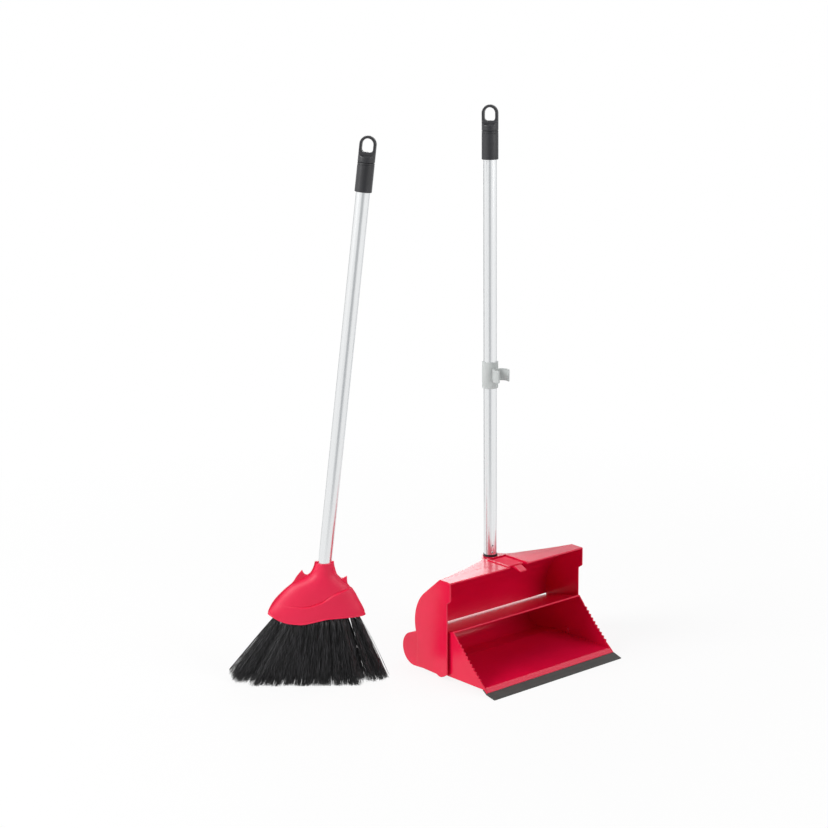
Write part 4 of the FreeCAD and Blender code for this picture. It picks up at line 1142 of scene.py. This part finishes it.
def extrudedFilament(name):
    # Extruded black polypropylene filament: glossy along its length, with lighter grey streaks
    # from strand to strand, which are partly dust and partly painted highlights on the strands.
    # The change from strand to strand is drawn about 2 mm wide, as coarse as it needs to show.
    material, tree, place = startMaterial(name, {"IOR": 1.49, "Specular IOR Level": 0.5})
    across = addNode(tree, "Mapping", {
        "Scale": (520.0, 520.0, 7.0),
    }, {"Vector": (place, "Object")})
    strands = addNode(tree, "TexNoise", {
        "Scale": 1.0, "Detail": 2.0,
    }, {"Vector": (across, "Vector")})
    # lighter grey streaks: partly dust, partly painted highlights on the strands
    addNode(tree, "ValToRGB", {
        "stops": ((0.47, "#070708"), (0.7, "#434245")),
    }, {"Fac": (strands, "Fac")}, "Base Color")
    addNode(tree, "MapRange", {
        "To Min": 0.25, "To Max": 0.4,
    }, {"Value": (strands, "Fac")}, "Roughness")
    return material


bristleBlack = extrudedFilament("extruded_black_polypropylene_bristle")


def inDisc():
    angle, out = random.uniform(0, 2 * math.pi), math.sqrt(random.random())
    return Vector((math.cos(angle), math.sin(angle), 0)) * out


def strandLine(root, spread, lean, clump):
    # the middle line of one strand, from its root to its tip
    side = clump + inDisc() * bristle["clumpSpread"]
    fray = clump * bristle["clumpHold"] + inDisc() * bristle["fray"]
    grow = random.uniform(*bristle["grow"])
    if random.random() < bristle["stray"]:
        grow *= random.uniform(*bristle["strayGrow"])
    start = root + side * bristle["tuft"]
    end = spread + lean + fray * bristle["tuftTip"] * grow
    end.x = max(bristle["reach"][0], min(bristle["reach"][1], end.x))
    end.y = max(bristle["deep"][0], min(bristle["deep"][1], end.y))
    height = between(bristle["tips"], end.x)[0] + random.gauss(0, bristle["uneven"])
    end.z = max(bristle["floorGap"], height)
    bow = Vector((random.gauss(0, bristle["bow"]), random.gauss(0, bristle["bow"]), 0))
    line = []
    for k in range(bristle["rings"]):
        t = k / (bristle["rings"] - 1)
        swell = side * bristle["flare"] * math.sin(math.pi * t)
        line.append(start.lerp(end, t) + swell + bow * math.sin(math.pi * t))
    return line


def addStrand(vertices, faces, line, turn):
    # a thin closed tube along the line
    sides, rings = bristle["sides"], bristle["rings"]
    root, thinner = bristle["radius"], bristle["tipRadius"] - bristle["radius"]
    base = len(vertices)
    for k, point in enumerate(line):
        thick = root + thinner * (k / (rings - 1)) ** 3
        for i in range(sides):
            angle = turn + 2 * math.pi * i / sides
            x, y = point.x + thick * math.cos(angle), point.y + thick * math.sin(angle)
            vertices.append((x * mm, y * mm, point.z * mm))
    for k in range(rings - 1):
        for i in range(sides):
            a, b = base + k * sides + i, base + k * sides + (i + 1) % sides
            faces.append((a, a + sides, b + sides, b))
    last = base + (rings - 1) * sides
    faces.append(tuple(range(base, base + sides)))
    faces.append(tuple(range(last + sides - 1, last - 1, -1)))


def makeBristles(number):
    across = bristle["rowPitch"] * (number - (bristle["rows"] + 1) / 2)
    reach = block["half"] * math.sqrt(1 - (across / block["deep"]) ** 2) - bristle["endMargin"]
    count = int(2 * reach / bristle["pitch"]) + 1
    first = block["centre"] - bristle["pitch"] * (count - 1) / 2
    rowFan = bristle["frontFan"] if across < 0 else bristle["rearFan"]
    vertices, faces = [], []
    for place in range(count):
        u = first + bristle["pitch"] * place
        root = Vector((u, across, bristle["root"]))
        spread = Vector((bristle["fanShift"] + bristle["fan"] * u, across * rowFan, 0))
        lean = Vector((random.gauss(0, bristle["lean"]), random.gauss(0, bristle["lean"]), 0))
        clumps = [inDisc() * bristle["clumpReach"] for _ in range(bristle["clumps"])]
        for _ in range(bristle["strands"]):
            line = strandLine(root, spread, lean, random.choice(clumps))
            addStrand(vertices, faces, line, random.uniform(0, math.pi))
    data = bpy.data.meshes.new("bristles_" + str(number))
    data.from_pydata(vertices, [], faces)
    data.shade_smooth()
    row, stands = addObject(data.name, data), ("tufts_row_" + str(number),)
    dress(row, broomPlace, "broom", bristleBlack, stands)


for number in range(1, bristle["rows"] + 1):
    makeBristles(number)
print("bristles made")


# Rivets that hold the pan's pole: domed heads with a hollow where the stem broke off

rivet = dict(
    turn=-22.0, low=177.7, pitch=12.0, head=2.1, dome=0.75, crown=0.5, rim=0.15,
    radius=1.28, length=5.0, hollow=0.8, hollowDepth=1.0, stem=0.5, stemDepth=1.2, play=0.02,
)


def makeRivet(name, number):
    outward = Matrix.Translation((0, 0, tube["radius"] * mm))
    place = (
        lifted(polePlace, rivet["low"] + rivet["pitch"] * number)
        @ Matrix.Rotation(math.radians(rivet["turn"]), 4, "Z")
        @ Matrix.Rotation(math.radians(90), 4, "X") @ outward
    )
    head, dome, crown, rim = rivet["head"], rivet["dome"], rivet["crown"], rivet["rim"]
    radius, length = rivet["radius"], rivet["length"]
    hollow, depth = rivet["hollow"], rivet["hollowDepth"]
    body = turned(eased([
        (hollow, -depth), (hollow, dome), (head - crown, dome), (head, rim), (head, 0),
        (radius, 0), (radius, -length), (0, -length), (0, -depth),
    ], (0, 0.2, crown, rim, 0, 0, 0, 0, 0)), 48)
    settle(body, name, place, "hood", rivetAluminium, ("tube_" + name,))
    top, foot, thick = rivet["stem"], -rivet["stemDepth"], hollow - rivet["play"]
    stem = turned(eased(rectangle(0, thick, foot, top), (0, 0, 0.15, 0)), 24)
    settle(stem, name + "_stem", place, "hood", stemSteel)


makeRivet("rivet_low", 0)
makeRivet("rivet_high", 1)
print("rivets made")


# Caps over the hinge pins' heads, inside the pan

hingeCap = dict(head=1.5, play=0.1, bore=4.6, radius=5.8, height=2.6, ease=0.8)


def makeHingeCap(name, side):
    low, high = [Vector(corner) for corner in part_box("hinge_pin_" + name)]
    middle = (low + high) / 2
    wall = (low.x if side > 0 else high.x) + side * hingeCap["head"] * mm
    inward = Matrix.Rotation(math.radians(-90 * side), 4, "Y")
    place = Matrix.Translation((wall, middle.y, middle.z)) @ inward
    bore, radius, height = hingeCap["bore"], hingeCap["radius"], hingeCap["height"]
    roof, ease = hingeCap["head"] + hingeCap["play"], hingeCap["ease"]
    cap = turned(eased([
        (0, height), (0, roof), (bore, roof), (bore, 0), (radius, 0), (radius, height),
    ], (0, 0, 0, 0, 0, ease)), 48)
    settle(cap, "hinge_cap_" + name, place, "pan", panRed)


makeHingeCap("left", -1)
makeHingeCap("right", 1)
print("hinge caps made")


# Screws and pins keep their CAD shape and get their finish

for node, finish in {
    "cover_screw_left": zincSteel, "cover_screw_right": zincSteel, "insert_screw": zincSteel,
    "hinge_pin_left": zincSteel, "hinge_pin_right": zincSteel, "latch_pin": zincSteel,
    "tube_insert": plugBlack,
}.items():
    fitting = frame["nodes"][node]
    fitting.data.materials.clear()
    fitting.data.materials.append(finish)
print("fasteners finished")


# Floor, light and background

studio = dict(  # metres, watts and degrees
    floorSize=60.0,
    floorGlow=0.86,  # how much of the floor near the object is plain white, the rest is shaded
    glowFrom=0.5, glowTo=1.6,  # over this distance the floor turns fully white
    worldLight=0.3,
    key=dict(place=(-3.08, 1.08, 2.28), aim=(0, 0, 0.3), size=(1.8, 1.8), power=114),
    softboxes=dict(
        front=dict(place=(1.3, -2.9, 1.6), aim=(0, 0, 0.15), size=(1.8, 1.4), power=38),
        top=dict(place=(2.5, 0.2, 3.2), aim=(0, 0, 0.1), size=(1.6, 1.6), power=15),
        rear=dict(place=(1.9, 3.2, 1.15), aim=(0, 0, 0.15), size=(1.6, 1.0), power=22),
    ),
    spot=dict(
        place=(0.2, -2.2, 1.2), aim=(-0.2, 0.09, 0.14), cone=8, softness=0.2, power=38,
    ),
    flagDistance=0.9, flagHeight=1.5,
    flags=((-39, 0.62, "#c0c2c4"), (177, 0.36, "#a0a2a4"), (91, 0.3, "#d0d2d4")),
    outOfKey=("broom", "bristles", "front_cover", "rear_cover"),
)


def seenRays(tree):
    # 1 for the rays that look at a surface or through it, 0 for those that light the object
    path = addNode(tree, "LightPath")
    looks = addNode(tree, "Math", {"operation": "MAXIMUM"}, {
        0: (path, "Is Camera Ray"), 1: (path, "Is Glossy Ray"),
    })
    return addNode(tree, "Math", {"operation": "MAXIMUM"}, {
        0: (looks, "Value"), 1: (path, "Is Transmission Ray"),
    })


def makeFloor():
    # a matt white sweep, which glows further out so that it meets the background without a line
    bpy.ops.mesh.primitive_plane_add(size=studio["floorSize"], location=(0, 0, 0))
    floor = bpy.context.object
    floor.name = "floor"
    material, tree, place = startMaterial("matt_white_sweep", {
        "Roughness": 0.9, "Base Color": colour("#fafafa"),
    })
    white = addNode(tree, "Emission", {"Color": colour("#ffffff"), "Strength": 1.0})
    away = addNode(tree, "VectorMath", {
        "operation": "LENGTH",
    }, {0: (place, "Object")})
    glow = addNode(tree, "MapRange", {
        "From Min": studio["glowFrom"], "From Max": studio["glowTo"],
        "To Min": studio["floorGlow"], "To Max": 1.0,
    }, {"Value": (away, "Value")})
    share = addNode(tree, "Math", {"operation": "MULTIPLY"}, {
        0: (seenRays(tree), "Value"), 1: (glow, "Result"),
    })
    addNode(tree, "MixShader", {}, {
        "Fac": (share, "Value"), 1: (tree.nodes["Principled BSDF"], "BSDF"),
        2: (white, "Emission"),
    }, "Surface")
    floor.data.materials.append(material)


def aimLamp(lamp, setting):
    made = addObject(lamp.name, lamp)
    lamp.energy = setting["power"]
    made.location = setting["place"]
    toward = Vector(setting["aim"]) - Vector(setting["place"])
    made.rotation_euler = toward.to_track_quat("-Z", "Y").to_euler()
    return made


def addSoftbox(name, setting):
    lamp = bpy.data.lights.new(name, "AREA")
    lamp.shape = "RECTANGLE"
    lamp.size, lamp.size_y = setting["size"]
    return aimLamp(lamp, setting)


def addSpot(name, setting):
    # a soft spot that lifts the broom's head
    lamp = bpy.data.lights.new(name, "SPOT")
    lamp.spot_size, lamp.spot_blend = math.radians(setting["cone"]), 1.0
    lamp.shadow_soft_size = setting["softness"]
    aimLamp(lamp, setting)


def addFlag(turn, wide, tone):
    # a tall grey card, which only reflections see: it draws a soft line down each pole
    angle, away, high = math.radians(turn), studio["flagDistance"], studio["flagHeight"]
    bpy.ops.mesh.primitive_plane_add(
        size=1, location=(away * math.sin(angle), -away * math.cos(angle), high / 2),
        rotation=(math.pi / 2, 0, angle),
    )
    card = bpy.context.object
    card.name = "flag"
    card.scale = (wide, high, 1)
    material, tree, _ = startMaterial("grey_flag", {})
    addNode(tree, "Emission", {"Color": colour(tone), "Strength": 1.0}, {}, "Surface")
    card.data.materials.append(material)
    card.visible_camera = card.visible_diffuse = card.visible_shadow = False
    card.visible_transmission = False


def makeWorld():
    # plain white where it is seen, and a low even light on the object
    world = bpy.data.worlds.new("studio")
    bpy.context.scene.world = world
    world.use_nodes = True
    tree = world.node_tree
    soft = tree.nodes["Background"]
    soft.inputs["Color"].default_value = colour("#ffffff")
    soft.inputs["Strength"].default_value = studio["worldLight"]
    white = addNode(tree, "Background", {"Color": colour("#ffffff"), "Strength": 1.0})
    addNode(tree, "MixShader", {}, {
        "Fac": (seenRays(tree), "Value"), 1: (soft, "Background"), 2: (white, "Background"),
    }, "Surface")


makeFloor()
makeWorld()
key = addSoftbox("key", studio["key"])
for name, setting in studio["softboxes"].items():
    addSoftbox(name, setting)
addSpot("broomLight", studio["spot"])
for turn, wide, tone in studio["flags"]:
    addFlag(turn, wide, tone)
# the broom casts no shadow of the key light on the pan, only the pan and the floor do
shadows = bpy.data.collections.new("keyShadows")
for piece in list(bpy.data.objects):
    if piece.type == "MESH" and not piece.name.startswith(studio["outOfKey"]):
        shadows.objects.link(piece)
key.light_linking.blocker_collection = shadows
print("studio made")
